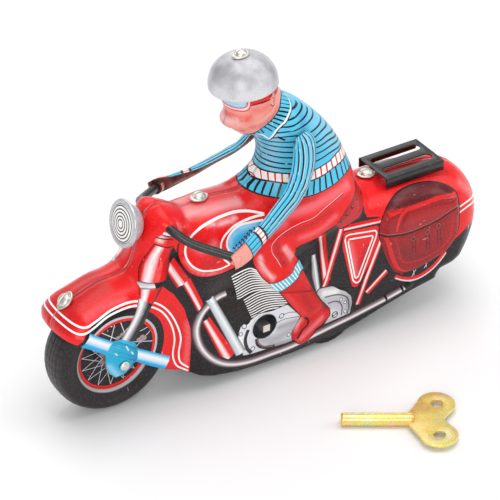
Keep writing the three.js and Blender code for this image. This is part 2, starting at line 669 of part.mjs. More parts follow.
// Joins equal rings of points into one closed body; each ring is an outer arc and an inner arc back.
function lofted(rings) {
  const size = rings[0].length;
  const index = [];
  rings.slice(1).forEach((_, r) => {
    for (let k = 0; k < size; k += 1) {
      const [a, b] = [r * size + k, r * size + ((k + 1) % size)];
      index.push(a, b, a + size, b, b + size, a + size);
    }
  });
  const last = (rings.length - 1) * size;
  for (let k = 0; k < size / 2 - 1; k += 1) {
    const [a, b, c, d] = [k, k + 1, size - 2 - k, size - 1 - k];
    index.push(a, c, b, a, d, c);
    index.push(last + a, last + b, last + c, last + a, last + c, last + d);
  }
  const geometry = new THREE.BufferGeometry();
  const position = rings.flat().flatMap((p) => [p.x, p.y, p.z]);
  geometry.setAttribute('position', new THREE.Float32BufferAttribute(position, 3));
  geometry.setIndex(index);
  return geometry;
}

// The hand's hook, curled round the end of the bar; it opens forwards and down.
function leftHand() {
  const [x, y, z] = BAR_ROUTE[0];
  const [x1, y1, z1] = BAR_ROUTE[1];
  const along = new THREE.Vector3(x1 - x, -(y1 - y), z1 - z).normalize();
  const hook = [];
  const arc = (radius, from, to) => Array.from({ length: 13 }, (_, i) => {
    const a = from + ((to - from) * i) / 12;
    return [radius * Math.cos(a), radius * Math.sin(a)];
  });
  hook.push(...arc(BAR_RADIUS + GAP + SHEET, -2.6, 2.2), ...arc(BAR_RADIUS + GAP, 2.2, -2.6));
  const geometry = new THREE.ExtrudeGeometry(shapeOf(hook), { depth: 7, bevelEnabled: false });
  geometry.translate(0, 0, -0.6);
  const turn = new THREE.Quaternion().setFromUnitVectors(new THREE.Vector3(0, 0, 1), along);
  return geometry.applyQuaternion(turn).translate(x, -y, z);
}

function windingKey() {
  const lobe = (y, from, to) => Array.from({ length: 15 }, (_, i) => {
    const a = THREE.MathUtils.degToRad(from + ((to - from) * i) / 14);
    return [11 + 7.2 * Math.cos(a), y + 7.2 * Math.sin(a)];
  });
  const outline = [[0, -3.4], ...lobe(-9.4, -170, 48), [13.4, 0], ...lobe(9.4, -48, 170), [0, 3.4]];
  const eyes = [circlePoints(11.2, -9.6, 2.3, 14), circlePoints(11.2, 9.6, 2.3, 14)];
  const bow = flatPlate(shapeOf(outline, eyes), 1.9, 2.9);
  const tube = new THREE.CylinderGeometry(KEY.tubeRadius, KEY.tubeRadius, KEY.shank, 20)
    .rotateZ(Math.PI / 2).translate(-KEY.shank / 2 + 2, 0, KEY.tubeRadius);
  const socket = new THREE.BoxGeometry(KEY.shank - 4, 3.2, 3.2)
    .translate(-KEY.shank / 2 - 1, 0, KEY.tubeRadius);
  return cut(joined(bow, tube), socket);
}

// ---------------------------------------------------------------- group

const toy = new THREE.Group();

function add(name, geometry, material, x = 0, y = 0, z = 0) {
  const mesh = new THREE.Mesh(geometry, material);
  mesh.name = name;
  mesh.position.set(x, y, z);
  toy.add(mesh);
  return mesh;
}

function addShells() {
  add('left_half_shell', leftShell(), RED);
  add('right_half_shell', rightShell(), RED);
}

function addFrontWheel() {
  const { x, z } = FRONT_WHEEL;
  add('front_wheel_left_half', wheelHalf(-1), TYRE_TIN, x, 0, z);
  add('front_wheel_right_half', wheelHalf(1), TYRE_TIN, x, 0, z);
  add('front_wheel_hub_tube', spacerTube(), STEEL, x, 0, z);
  add('front_axle_rivet', frontAxle(), NICKEL, x, 0, z);
}

function addDrive() {
  const { x, z } = DRIVE;
  const phase = gapFacing(TRAIN_ANGLE, TEETH.pinion);
  add('drive_axle', rodY(1.05, -14, 14, 14), STEEL, x, 0, z);
  add('drive_pinion', gear(TEETH.pinion, phase, 4.6, 6.8, 1.35), BRASS, x, 0, z);
  for (const [name, side] of [['left', -1], ['right', 1]]) {
    add(`${name}_drive_wheel`, driveWheel(), STEEL, x, side * 11.9, z);
    add(`${name}_drive_tyre`, driveTyre(), RUBBER, x, side * 11.9, z);
  }
}

function addMotor() {
  const { x, z } = ARBOR;
  const pinionPhase = gapFacing(TRAIN_ANGLE, TEETH.pinion);
  const secondPhase = TRAIN_ANGLE;
  const facing = Math.round((GOVERNOR_ANGLE - secondPhase) / ((2 * Math.PI) / TEETH.second));
  const tooth = secondPhase + facing * ((2 * Math.PI) / TEETH.second);
  const slip = ((GOVERNOR_ANGLE - tooth) * TEETH.second) / TEETH.governor;
  const governorPhase = gapFacing(GOVERNOR_ANGLE, TEETH.governor) + slip;
  add('motor_plate_left', motorPlate(-1), STEEL);
  add('motor_plate_right', motorPlate(1), STEEL);
  PILLARS.forEach(([px, pz], i) => add(`motor_pillar_${i + 1}`, pillar(), STEEL, px, 0, pz));
  add('winding_arbor', windingArbor(), NICKEL, x, 0, z);
  add('ratchet_wheel', ratchetWheel(), STEEL, x, 0, z);
  add('great_wheel', greatWheel(), BRASS, x, 0, z);
  const ratchetClick = add('click', click(), STEEL, CLICK.x, 0, CLICK.z);
  ratchetClick.rotation.set(0, -CLICK.turn, 0);
  add('click_rivet', clickRivet(), STEEL, CLICK.x, 0, CLICK.z);
  add('mainspring', mainspring(), SPRING_STEEL, x, 0, z);
  add('second_arbor', rodY(0.75, -9.9, 9.9, 12), STEEL, SECOND.x, 0, SECOND.z);
  add('second_pinion', gear(TEETH.pinion, pinionPhase, -8.2, -5.8, 1.05), BRASS, SECOND.x, 0, SECOND.z);
  add('second_wheel', gear(TEETH.second, secondPhase, 5.2, 6.2, 1.05, 4), BRASS, SECOND.x, 0, SECOND.z);
  add('governor_arbor', rodY(0.65, -9.9, 9.9, 12), STEEL, GOVERNOR.x, 0, GOVERNOR.z);
  const governorPinion = gear(TEETH.governor, governorPhase, 4.8, 6.6, 0.95);
  add('governor_pinion', governorPinion, BRASS, GOVERNOR.x, 0, GOVERNOR.z);
  add('star_wheel', starWheel(), BRASS, GOVERNOR.x, 0, GOVERNOR.z);
  add('pallet_arbor', rodY(0.6, -9.9, 9.9, 12), STEEL, PALLET.x, 0, PALLET.z);
  add('pallet', pallet(), STEEL, PALLET.x, 0, PALLET.z);
}

function tilted(mesh, x, z, angle) {
  mesh.position.set(x, 0, z);
  mesh.rotation.set(0, angle, 0);
}

function addFittings() {
  tilted(add('fender_clip', seamClip(2.9), NICKEL), -18.9, 51.7, -0.72);
  tilted(add('tank_clip', seamClip(2.9), NICKEL), 38.7, 76.9, 0);
  tilted(add('seat_clip', seamClip(2.8), NICKEL), 112.4, 62.3, 0.06);
  tilted(add('helmet_dome', helmetDome(), SILVER_PAINT), HELMET.x, HELMET.z, -HELMET.tilt);
  tilted(add('helmet_clip', seamClip(2.5), NICKEL), HELMET_CLIP.x, HELMET_CLIP.z, HELMET_CLIP.turn);
  const facing = -Math.PI / 2 + LAMP.tilt;
  tilted(add('headlamp_cup', lampCup(), SILVER_PAINT), LAMP.x, LAMP.z, facing);
  tilted(add('headlamp_lens', lampLens(), WHITE), LAMP.x, LAMP.z, facing);
  add('luggage_rack', luggageRack(), BLACK_ENAMEL);
  add('rack_tongue', rackTongue(), NICKEL);
  add('handlebar', barTube(BAR_RADIUS), BLACK_ENAMEL);
}

function addRiderArms() {
  const arm = joined(leftArm(), leftHand());
  add('rider_left_arm', arm, BLUE);
  add('rider_right_arm', mirrored(arm), BLUE);
}

function addKey() {
  const key = add('winding_key', windingKey(), ZINC, KEY.x, KEY.y, 0);
  key.rotation.set(0, 0, KEY.turn);
}

addShells();
addFrontWheel();
addDrive();
addMotor();
addFittings();
addRiderArms();
addKey();

// The origin is the middle of the whole set on the surface that it stands on.
const extent = new THREE.Box3().setFromObject(toy, true);
const tenths = (value) => Math.round(10 * value) / 10;
toy.position.set(-tenths((extent.min.x + extent.max.x) / 2), -tenths((extent.min.y + extent.max.y) / 2), 0);

export default toy;
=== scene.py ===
import json
import math

import bpy
import numpy as np
from mathutils import Matrix, Vector, kdtree
from mathutils.geometry import delaunay_2d_cdt


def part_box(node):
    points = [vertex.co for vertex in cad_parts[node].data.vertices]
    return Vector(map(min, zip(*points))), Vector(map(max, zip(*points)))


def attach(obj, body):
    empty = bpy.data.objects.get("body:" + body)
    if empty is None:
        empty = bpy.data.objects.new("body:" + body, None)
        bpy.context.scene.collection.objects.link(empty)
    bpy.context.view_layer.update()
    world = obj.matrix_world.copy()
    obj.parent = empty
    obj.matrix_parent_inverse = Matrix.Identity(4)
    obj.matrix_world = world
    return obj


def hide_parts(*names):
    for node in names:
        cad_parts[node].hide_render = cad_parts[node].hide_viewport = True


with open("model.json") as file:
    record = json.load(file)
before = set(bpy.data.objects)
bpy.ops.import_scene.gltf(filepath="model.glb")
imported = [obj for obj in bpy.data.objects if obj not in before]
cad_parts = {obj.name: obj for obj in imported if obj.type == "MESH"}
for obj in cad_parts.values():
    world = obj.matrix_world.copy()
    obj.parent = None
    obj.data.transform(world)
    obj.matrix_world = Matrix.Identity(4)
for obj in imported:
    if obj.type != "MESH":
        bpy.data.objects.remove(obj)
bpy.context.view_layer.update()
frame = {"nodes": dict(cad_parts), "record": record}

# Drawing lengths are in millimetres: x forward to back, y to the right, z up, with the
# toy's own zero on its centre plane under the front of the tank.
MM = 0.001
AXLE = (-2.4, 24.2)
wheel_low, wheel_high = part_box("front_wheel_left_half")
left_low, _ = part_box("left_half_shell")
_, right_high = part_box("right_half_shell")
ZERO = Vector(((wheel_low.x + wheel_high.x) / 2 - AXLE[0] * MM, (left_low.y + right_high.y) / 2, 0))


# ---------------------------------------------------------------- colours

def rgb(r, g, b):
    """A printed colour from its 0-255 values, as linear light."""
    c = np.array([r, g, b]) / 255
    return np.where(c <= 0.04045, c / 12.92, ((c + 0.055) / 1.055) ** 2.4)


RED = rgb(232, 10, 16)
DEEP_RED = rgb(165, 16, 20)
PINK = rgb(246, 142, 150)
PALE_PINK = rgb(252, 205, 208)
WHITE = rgb(245, 245, 243)
BLACK = rgb(15, 13, 16)
INK = rgb(6, 5, 7)
GREY = rgb(186, 186, 192)
DARK_GREY = rgb(92, 88, 94)
PALE_GREY = rgb(220, 222, 228)
SKY = rgb(80, 196, 232)
PALE_SKY = rgb(160, 214, 238)
CYAN = rgb(24, 170, 228)
BOSS_BLUE = rgb(16, 170, 210)
LAVENDER = rgb(222, 228, 250)
SKIN = rgb(240, 158, 146)
BLUSH = rgb(232, 84, 78)
BAG_RED = rgb(152, 14, 22)
LID_RED = rgb(86, 10, 20)
STRAP_RED = rgb(216, 34, 34)


# ---------------------------------------------------------------- lines in the side view

def smooth_line(points, pitch=1.0):
    """A centripetal curve through the points, resampled at an even pitch."""
    P = np.array(points, float)
    if len(P) > 2:
        Q = np.vstack([2 * P[0] - P[1], P, 2 * P[-1] - P[-2]])
        parts = []
        for p0, p1, p2, p3 in zip(Q, Q[1:], Q[2:], Q[3:]):
            d = [max(np.linalg.norm(b - a) ** 0.5, 1e-4) for a, b in ((p0, p1), (p1, p2), (p2, p3))]
            t1 = (p1 - p0) / d[0] - (p2 - p0) / (d[0] + d[1]) + (p2 - p1) / d[1]
            t2 = (p2 - p1) / d[1] - (p3 - p1) / (d[1] + d[2]) + (p3 - p2) / d[2]
            t = np.linspace(0, 1, 16, endpoint=False)[:, None]
            parts.append((2 * t**3 - 3 * t**2 + 1) * p1 + (t**3 - 2 * t**2 + t) * t1 * d[1]
                + (3 * t**2 - 2 * t**3) * p2 + (t**3 - t**2) * t2 * d[1])
        P = np.vstack(parts + [P[-1:]])
    run = np.r_[0, np.cumsum(np.linalg.norm(np.diff(P, axis=0), axis=1))]
    count = max(1, round(run[-1] / pitch))
    s = np.linspace(0, run[-1], count + 1)
    return np.stack([np.interp(s, run, P[:, k]) for k in range(P.shape[1])], 1)


def straight(points, pitch=1.2):
    """The corner line itself, with places added along it at an even pitch."""
    parts = [smooth_line([a, b], pitch)[:-1] for a, b in zip(points, points[1:])]
    return np.vstack(parts + [np.array(points[-1:], float)])


def closed(points, pitch=1.0, smooth=False):
    """A ring of places round a shape, straight from corner to corner or smoothed through them."""
    if not smooth:
        return straight(list(points) + [points[0]], pitch)[:-1]
    n = len(points)
    wrapped = [points[i % n] for i in range(-2, n + 3)]
    line = smooth_line(wrapped, pitch)
    start = np.argmin(np.hypot(*(line - np.array(points[0])).T)[: len(line) // 2])
    after = start + len(line) // 3
    end = after + np.argmin(np.hypot(*(line[after:] - np.array(points[0])).T))
    return line[start:end]


def rounded(points, radius, steps=5):
    """A corner line with its corners rounded off."""
    P = [np.array(p, float) for p in points]
    line = []
    for a, b, c in zip(P[-1:] + P[:-1], P, P[1:] + P[:1]):
        r = min(radius, 0.45 * np.linalg.norm(b - a), 0.45 * np.linalg.norm(c - b))
        p, q = b + (a - b) / np.linalg.norm(a - b) * r, b + (c - b) / np.linalg.norm(c - b) * r
        t = np.linspace(0, 1, steps + 1)[:, None]
        line.append((1 - t) ** 2 * p + 2 * t * (1 - t) * b + t**2 * q)
    return np.vstack(line)


def rim_of(points, radius):
    """The outline of a shape with softened corners, as a line that meets itself."""
    line = rounded(points, radius, 4)
    return np.vstack([line, line[:2]])


def circle(x, z, r, pitch=1.0, squash=1.0):
    """A ring of places round a circle, or an oval when squashed."""
    n = max(10, round(2 * math.pi * r / pitch))
    a = round_angles(n)
    return np.stack([x + r * np.cos(a), z + r * squash * np.sin(a)], 1)


def unit(rows):
    """Each row at length one."""
    return rows / np.maximum(np.linalg.norm(rows, axis=1), 1e-9)[:, None]


def round_angles(n):
    """n angles evenly round a circle."""
    return np.linspace(0, 2 * math.pi, n, endpoint=False)


def normals_of(line):
    """Unit normals along a line in the side view."""
    d = unit(np.gradient(line[:, :2], axis=0))
    return np.stack([d[:, 1], -d[:, 0]], 1)


def nearest(line, x, z):
    """Distance from each place to an open line, its third column there, and the side the place lies on."""
    best = np.full(x.shape, 1e9)
    value = np.zeros(x.shape)
    side = np.zeros(x.shape)
    for a, b in zip(line[:-1], line[1:]):
        d = b - a
        length = math.hypot(d[0], d[1])
        t = np.clip(((x - a[0]) * d[0] + (z - a[1]) * d[1]) / length**2, 0, 1)
        px, pz = x - a[0] - t * d[0], z - a[1] - t * d[1]
        r = np.hypot(px, pz)
        m = r < best
        best[m] = r[m]
        side[m] = np.sign(px * d[1] - pz * d[0])[m]
        if line.shape[1] > 2:
            value[m] = (a[2] + t * d[2])[m]
    return best, value, side


def inside(polygon, x, z):
    """Which places lie within a polygon."""
    result = np.zeros(x.shape, bool)
    low, high = polygon.min(0), polygon.max(0)
    near = (x >= low[0]) & (x <= high[0]) & (z >= low[1]) & (z <= high[1])
    if not near.any():
        return result
    px, pz = x[near], z[near]
    odd = np.zeros(px.shape, bool)
    for (ax, az), (bx, bz) in zip(polygon, np.roll(polygon, 1, axis=0)):
        if az == bz:
            continue
        odd ^= ((az > pz) != (bz > pz)) & (px < ax + (bx - ax) * (pz - az) / (bz - az))
    result[near] = odd
    return result


def smoothstep(t):
    """0 to 1 with a soft start and end."""
    t = np.clip(t, 0, 1)
    return t * t * (3 - 2 * t)


def fade(a, b, t):
    """From a to b as t runs from 0 to 1."""
    return a + (b - a) * smoothstep(t)


# ---------------------------------------------------------------- printing

class Print:
    """Flat art in the side view: shapes laid one over another, each with its own paint."""

    def __init__(self):
        self.layers = []

    def area(self, polygon, paint):
        self.layers.append((np.array(polygon)[:, :2], [np.array(polygon)[:, :2]], paint))

    def band(self, line, half, ramp):
        """A stroke of even or tapering half width; ramp is [(place across, colour), ...]."""
        line = np.array(line, float)
        half = np.interp(np.linspace(0, 1, len(line)), np.linspace(0, 1, np.size(half)), np.atleast_1d(half))
        n = normals_of(line) * half[:, None]
        outline = np.vstack([line[:, :2] + n, (line[:, :2] - n)[::-1]])
        track = np.column_stack([line[:, :2], half])
        stops = [s for s, _ in ramp]
        colours = np.array([c for _, c in ramp])

        def paint(x, z):
            distance, width, side = nearest(track, x, z)
            across = np.clip(distance * side / np.maximum(width, 1e-6), -1, 1)
            return np.stack([np.interp(across, stops, colours[:, k]) for k in range(3)], 1)

        lines = [outline]
        if len(ramp) > 2:
            lines += [line[:, :2] + n * s for s in stops if abs(s) < 0.9]
        self.layers.append((outline, lines, paint))

    def stroke(self, line, half, colour):
        self.band(line, half, [(-1, colour), (1, colour)])

    def curve(self, points, half, colour, pitch=1.0):
        """A stroke of one colour along the smooth line through the points."""
        self.stroke(smooth_line(points, pitch), half, colour)

    def rod(self, points, half, ramp, pitch=1.2):
        """A shaded band along the smooth line through the points."""
        self.band(smooth_line(points, pitch), half, ramp)

    def shape(self, points, paint):
        """A straight-sided shape."""
        self.area(closed(points), paint)

    def rim(self, points, half, colour, radius=0.8):
        """A line round a shape, with its corners rounded."""
        self.stroke(rim_of(points, radius), half, colour)

    def disc(self, colour, *ring):
        """A circle of one colour: ring is what circle() takes."""
        self.area(circle(*ring), flat(colour))

    def bolt(self, x, z, r, core=0.7):
        """A dark ring round a pale head."""
        self.disc(INK, x, z, r, 0.7)
        self.disc(PALE_GREY, x, z, r * core, 0.6)


def flat(colour):
    """One even colour."""
    return lambda x, z: np.tile(colour, (len(x), 1))


def airbrushed(base, *touches):
    """base sprayed over with soft strokes: (line, reach, colour, strength)."""
    def paint(x, z):
        c = np.tile(base, (len(x), 1))
        for line, reach, colour, strength in touches:
            line = smooth_line(line, 3.0) if len(line) > 2 else np.array(line, float)
            w = strength * np.exp(-(nearest(line, x, z)[0] / reach) ** 2)[:, None]
            c = c * (1 - w) + colour * w
        return c
    return paint


def printed_mesh(outline, rows, prints, pitch, drop=0.42):
    """A curved sheet over an outline in the side view, with the art's edges in its mesh."""
    lines = [(outline, True)] + [(r, False) for r in rows]
    for _, edges, _ in prints.layers:
        lines += [(e, True) for e in edges]
    points, edges = [], []
    for line, is_closed in lines:
        first = len(points)
        points += [Vector(p) for p in line[:, :2].tolist()]
        last = len(points) - 1
        edges += [(i, i + 1) for i in range(first, last)]
        if is_closed:
            edges.append((last, first))
    tree = kdtree.KDTree(len(points))
    for i, p in enumerate(points):
        tree.insert((p.x, p.y, 0), i)
    tree.balance()
    low, high = outline.min(0), outline.max(0)
    xs = np.arange(low[0], high[0], pitch)
    zs = np.arange(low[1], high[1], pitch * 0.866)
    grid = np.array([(x + pitch * 0.5 * (k % 2), z) for k, z in enumerate(zs) for x in xs])
    grid = grid[inside(outline, grid[:, 0], grid[:, 1])]
    for x, z in grid:
        if tree.find((x, z, 0))[2] > drop * pitch:
            points.append(Vector((x, z)))
    verts, _, faces, _, _, _ = delaunay_2d_cdt(points, edges, [], 0, 1e-4)
    V = np.array([(v.x, v.y) for v in verts])
    F = np.array([f for f in faces if len(f) == 3])
    middle = V[F].mean(1)
    F = F[inside(outline, middle[:, 0], middle[:, 1])]
    middle = V[F].mean(1)
    owner = np.full(len(F), -1)
    for i, (polygon, _, _) in enumerate(prints.layers):
        owner[inside(polygon, middle[:, 0], middle[:, 1])] = i
    colour = np.zeros((len(F), 3, 3))
    for i, (_, _, paint) in enumerate(prints.layers):
        mine = owner == i
        if mine.any():
            corners = V[F[mine]].reshape(-1, 2)
            colour[mine] = paint(corners[:, 0], corners[:, 1]).reshape(-1, 3, 3)
    used, index = np.unique(F, return_inverse=True)
    return V[used], index.reshape(F.shape), colour


def linked(name, data):
    """A new object in the scene."""
    obj = bpy.data.objects.new(name, data)
    bpy.context.scene.collection.objects.link(obj)
    return obj


def mesh_object(name, verts, faces, colour):
    """A linked object from corners and faces, with its printed colours face corner by face corner."""
    mesh = bpy.data.meshes.new(name)
    mesh.from_pydata([tuple(v) for v in verts], [], [tuple(int(i) for i in f) for f in faces])
    mesh.validate()
    layer = mesh.color_attributes.new("print", "FLOAT_COLOR", "CORNER")
    rgba = np.ones((len(mesh.loops), 4), np.float32)
    rgba[:, :3] = np.asarray(colour).reshape(-1, 3)
    layer.data.foreach_set("color", rgba.ravel())
    mesh.polygons.foreach_set("use_smooth", [True] * len(mesh.polygons))
    mesh.update()
    return linked(name, mesh)


# ---------------------------------------------------------------- materials

class Surface:
    """A small builder round one shader: every input is a socket or a plain value."""

    def __init__(self, name):
        self.material = bpy.data.materials.new(name)
        self.material.use_nodes = True
        self.tree = self.material.node_tree
        self.shader = self.tree.nodes["Principled BSDF"]

    def put(self, kind, **settings):
        node = self.tree.nodes.new(kind)
        for key, value in settings.items():
            setattr(node, key, value)
        return node

    def join(self, source, socket):
        if hasattr(source, "is_output"):
            self.tree.links.new(source, socket)
        else:
            socket.default_value = source

    def set(self, **inputs):
        for name, value in inputs.items():
            self.join(value, self.shader.inputs[name.replace("_", " ")])

    def place(self, *stretch):
        scale = self.put("ShaderNodeVectorMath", operation="MULTIPLY")
        self.join(self.put("ShaderNodeTexCoord").outputs["Object"], scale.inputs[0])
        scale.inputs[1].default_value = stretch or (1, 1, 1)
        return scale.outputs[0]

    def noise(self, scale, detail=3.0, rough=0.55, stretch=()):
        node = self.put("ShaderNodeTexNoise")
        node.inputs["Scale"].default_value = scale
        node.inputs["Detail"].default_value = detail
        node.inputs["Roughness"].default_value = rough
        self.join(self.place(*stretch), node.inputs["Vector"])
        return node.outputs["Fac"]

    def steps(self, value, low, high, to_low=0.0, to_high=1.0):
        node = self.put("ShaderNodeMapRange")
        for key, v in (("Value", value), ("From Min", low), ("From Max", high), ("To Min", to_low),
                ("To Max", to_high)):
            self.join(v, node.inputs[key])
        return node.outputs["Result"]

    def mix(self, share, a, b):
        node = self.put("ShaderNodeMix", data_type="RGBA")
        self.join(share, node.inputs[0])
        for socket, colour in ((node.inputs[6], a), (node.inputs[7], b)):
            self.join(colour if hasattr(colour, "is_output") else (*[float(v) for v in colour][:3], 1.0),
                socket)
        return node.outputs[2]

    def both(self, a, b):
        node = self.put("ShaderNodeMath", operation="MULTIPLY")
        self.join(a, node.inputs[0])
        self.join(b, node.inputs[1])
        return node.outputs[0]

    def bump(self, height, distance, strength=1.0):
        node = self.put("ShaderNodeBump")
        node.inputs["Distance"].default_value = distance
        node.inputs["Strength"].default_value = strength
        self.join(height, node.inputs["Height"])
        self.set(Normal=node.outputs["Normal"])

    def scratches(self):
        """Rare thin nicks through the paint, longer one way than the other."""
        fine = self.steps(self.noise(900, 2, 0.5, (1, 1, 0.22)), 0.735, 0.76)
        other = self.steps(self.noise(760, 2, 0.5, (0.25, 1, 1)), 0.745, 0.77)
        patch = self.steps(self.noise(55, 2), 0.5, 0.62)
        top = self.put("ShaderNodeMath", operation="MAXIMUM")
        self.join(fine, top.inputs[0])
        self.join(other, top.inputs[1])
        return self.both(top.outputs[0], patch)


def printed(name, gloss=0.26):
    """Lithographed tin: ink colour from the mesh, mottled, nicked and varnished."""
    s = Surface(name)
    ink = s.put("ShaderNodeAttribute", attribute_name="print").outputs["Color"]
    mottled = s.mix(s.steps(s.noise(1500, 4, 0.7), 0.5, 0.78, 0, 0.07), ink, PALE_PINK)
    worn = s.mix(s.scratches(), mottled, PALE_GREY)
    s.set(Base_Color=worn, Roughness=s.steps(s.noise(260, 4), 0.3, 0.7, gloss, gloss + 0.14), Metallic=0.0,
        Coat_Weight=0.2, Coat_Roughness=0.14, Specular_IOR_Level=0.22)
    s.bump(s.noise(170, 4, 0.6), 0.00010, 0.5)
    return s.material


def metal(name, colour, dark, roughness, scale=300, bump=0.00004):
    """Bare metal: two close tones, nicks, and an uneven polish."""
    s = Surface(name)
    tone = s.mix(s.steps(s.noise(scale, 5, 0.65), 0.32, 0.7), dark, colour)
    nicked = s.mix(s.scratches(), tone, dark)
    s.set(Base_Color=nicked, Metallic=1.0, Roughness=s.steps(s.noise(scale * 0.6, 4, 0.6), 0.3, 0.7,
        roughness, roughness + 0.18))
    s.bump(s.noise(scale * 2, 4, 0.6), bump, 0.6)
    return s.material


PRINTED = printed("printed_tin")
BARE_TIN = metal("bare_tin", rgb(206, 206, 210), rgb(150, 150, 156), 0.3)


# ---------------------------------------------------------------- the pressed half shells

SEAM = [(-25.4, 41.6, 6), (-25.2, 44, 6), (-23.4, 47, 7), (-19.7, 50.2, 8), (-14.7, 52.6, 10),
    (-4.7, 55.6, 11), (2.8, 56, 10), (6.6, 57.2, 9), (8.8, 60.6, 9), (10.9, 67, 9), (13.2, 74.5, 9),
    (16.2, 79.2, 9), (20.2, 80.8, 9), (25.6, 78.5, 10), (30.5, 75.9, 12), (36, 75.8, 14), (43, 76.3, 14),
    (50.3, 75.6, 13), (55.8, 75.5, 12), (60.6, 78.4, 15), (64.1, 82.4, 17), (65.2, 87, 17),
    (64.3, 92.4, 16), (61.8, 96.8, 13), (57, 98.6, 9), (53.8, 101, 9), (51.6, 103, 9), (49.4, 104.5, 9),
    (49.5, 106.6, 10), (50.7, 109.6, 12), (49.7, 113.4, 12), (49.4, 117.5, 12), (50.2, 121.8, 11),
    (54, 126, 10), (60, 127, 10), (67, 122.5, 10), (71.2, 116.2, 9), (74.5, 111.4, 9), (82, 105.6, 10),
    (89.2, 98.4, 11), (95.2, 90.6, 12), (99.8, 82, 12), (103, 73.5, 12), (104.8, 66.4, 11),
    (106.6, 62.6, 10), (111, 61.6, 11), (118, 60.8, 13), (130, 60.6, 14), (142, 59.4, 14), (151, 56.4, 13),
    (157.4, 50.4, 13), (161, 43, 13), (161.8, 35, 13), (160.6, 27.5, 13), (157.4, 20.4, 12),
    (153, 15.6, 10), (147.6, 13.6, 8), (142, 13.4, 6.5)]
LOWER_EDGE = [(142, 13.4), (136, 14.2), (129.6, 13.2), (123, 11.9), (112.7, 9.6), (101.9, 6.8), (94.8, 5.2),
    (84, 4.2), (70, 3.6), (54, 3.8), (45.4, 4.4), (35.5, 6.2), (29.3, 8.2), (25, 10.7), (15.8, 14.8),
    (9.5, 18.8), (4.2, 22.6), (2.8, 23.4), (0.8, 21.4), (-1.5, 19.6), (-5.5, 19.2), (-8.1, 21.8),
    (-9.6, 26.9), (-9.9, 31.4), (-16, 36.4), (-21.5, 40.4), (-25.4, 41.6)]
SEAM_LINE = smooth_line(SEAM, 1.0)
OUTLINE = np.vstack([SEAM_LINE[:, :2], straight(LOWER_EDGE, 1.0)[1:-1]])
BODY_HALF, FORK_HALF, TIP_HALF, NECK_HALF, HEAD_HALF, CHEST_HALF = 15.5, 14.2, 12.4, 10.4, 8.8, 13.6
ARBOR = (57.4, 20.9)
SHEET = 0.45
BOSS_RISE = 1.0
SEAM_GAP = 0.05


def half_width(x, z):
    """Half the toy's width at a place in the side view, without the pressed relief."""
    over_collar = (x - 64) * -0.8 + (z - 101.6) * 0.6
    head = fade(CHEST_HALF, HEAD_HALF, (over_collar + 5) / 7)
    fork = fade(TIP_HALF, FORK_HALF, (z - 24.2) / 22)
    front = fade(fork, BODY_HALF, (x - 24) / 14)
    neck = fade(front, NECK_HALF, (z - 56) / 9)
    body = fade(neck, BODY_HALF, (x - 20) / 16)
    return np.where(z > 92, head, fade(body, CHEST_HALF, (z - 68) / 12))


PIPE = [(40.2, 42.3), (36.6, 41.8), (33.2, 39.8), (30.4, 37.2), (28.7, 33.6), (28, 29.2), (29.1, 22.8),
    (32, 17.2), (36.8, 12.2), (42.3, 9.1), (49.8, 7.3), (59.8, 7), (70, 7.1), (80.2, 8.5), (90.5, 9.8),
    (97, 10.6), (106, 12), (113.4, 13.2), (124.6, 15.6)]
FORK_TUBE = [(17.9, 68.2), (11.4, 55.9), (6.9, 48.5)]
FORK_LEG = [(6.9, 48.5), (3.2, 41.4), (-0.3, 34.5)]
BAR = [(-18.3, 41.9), (-8.7, 34.3), (3.4, 25.8), (16.1, 17.4)]
BOSS = [(-3.2, 36.4), (2.4, 33.2), (3.9, 29.3), (3.4, 25), (1, 21.6), (-1.5, 19.7), (-5.5, 19.3),
    (-8.1, 21.9), (-9.6, 26.9), (-9.7, 32.4), (-8.5, 35.6), (-5.9, 36.8)]
BAG = [(109.6, 43.9), (109.9, 49.6), (112.9, 53.8), (118.3, 56.4), (125.1, 57.5), (132.6, 57.2),
    (139, 55.7), (143.9, 53), (146.5, 50.2), (147.2, 46.6), (147.4, 41.3), (147.4, 34), (145.3, 29.2),
    (141.3, 25.5), (134.6, 23.3), (127.4, 21.8), (121.2, 22), (117.2, 24.2), (114.2, 29.4), (111.2, 37.2)]
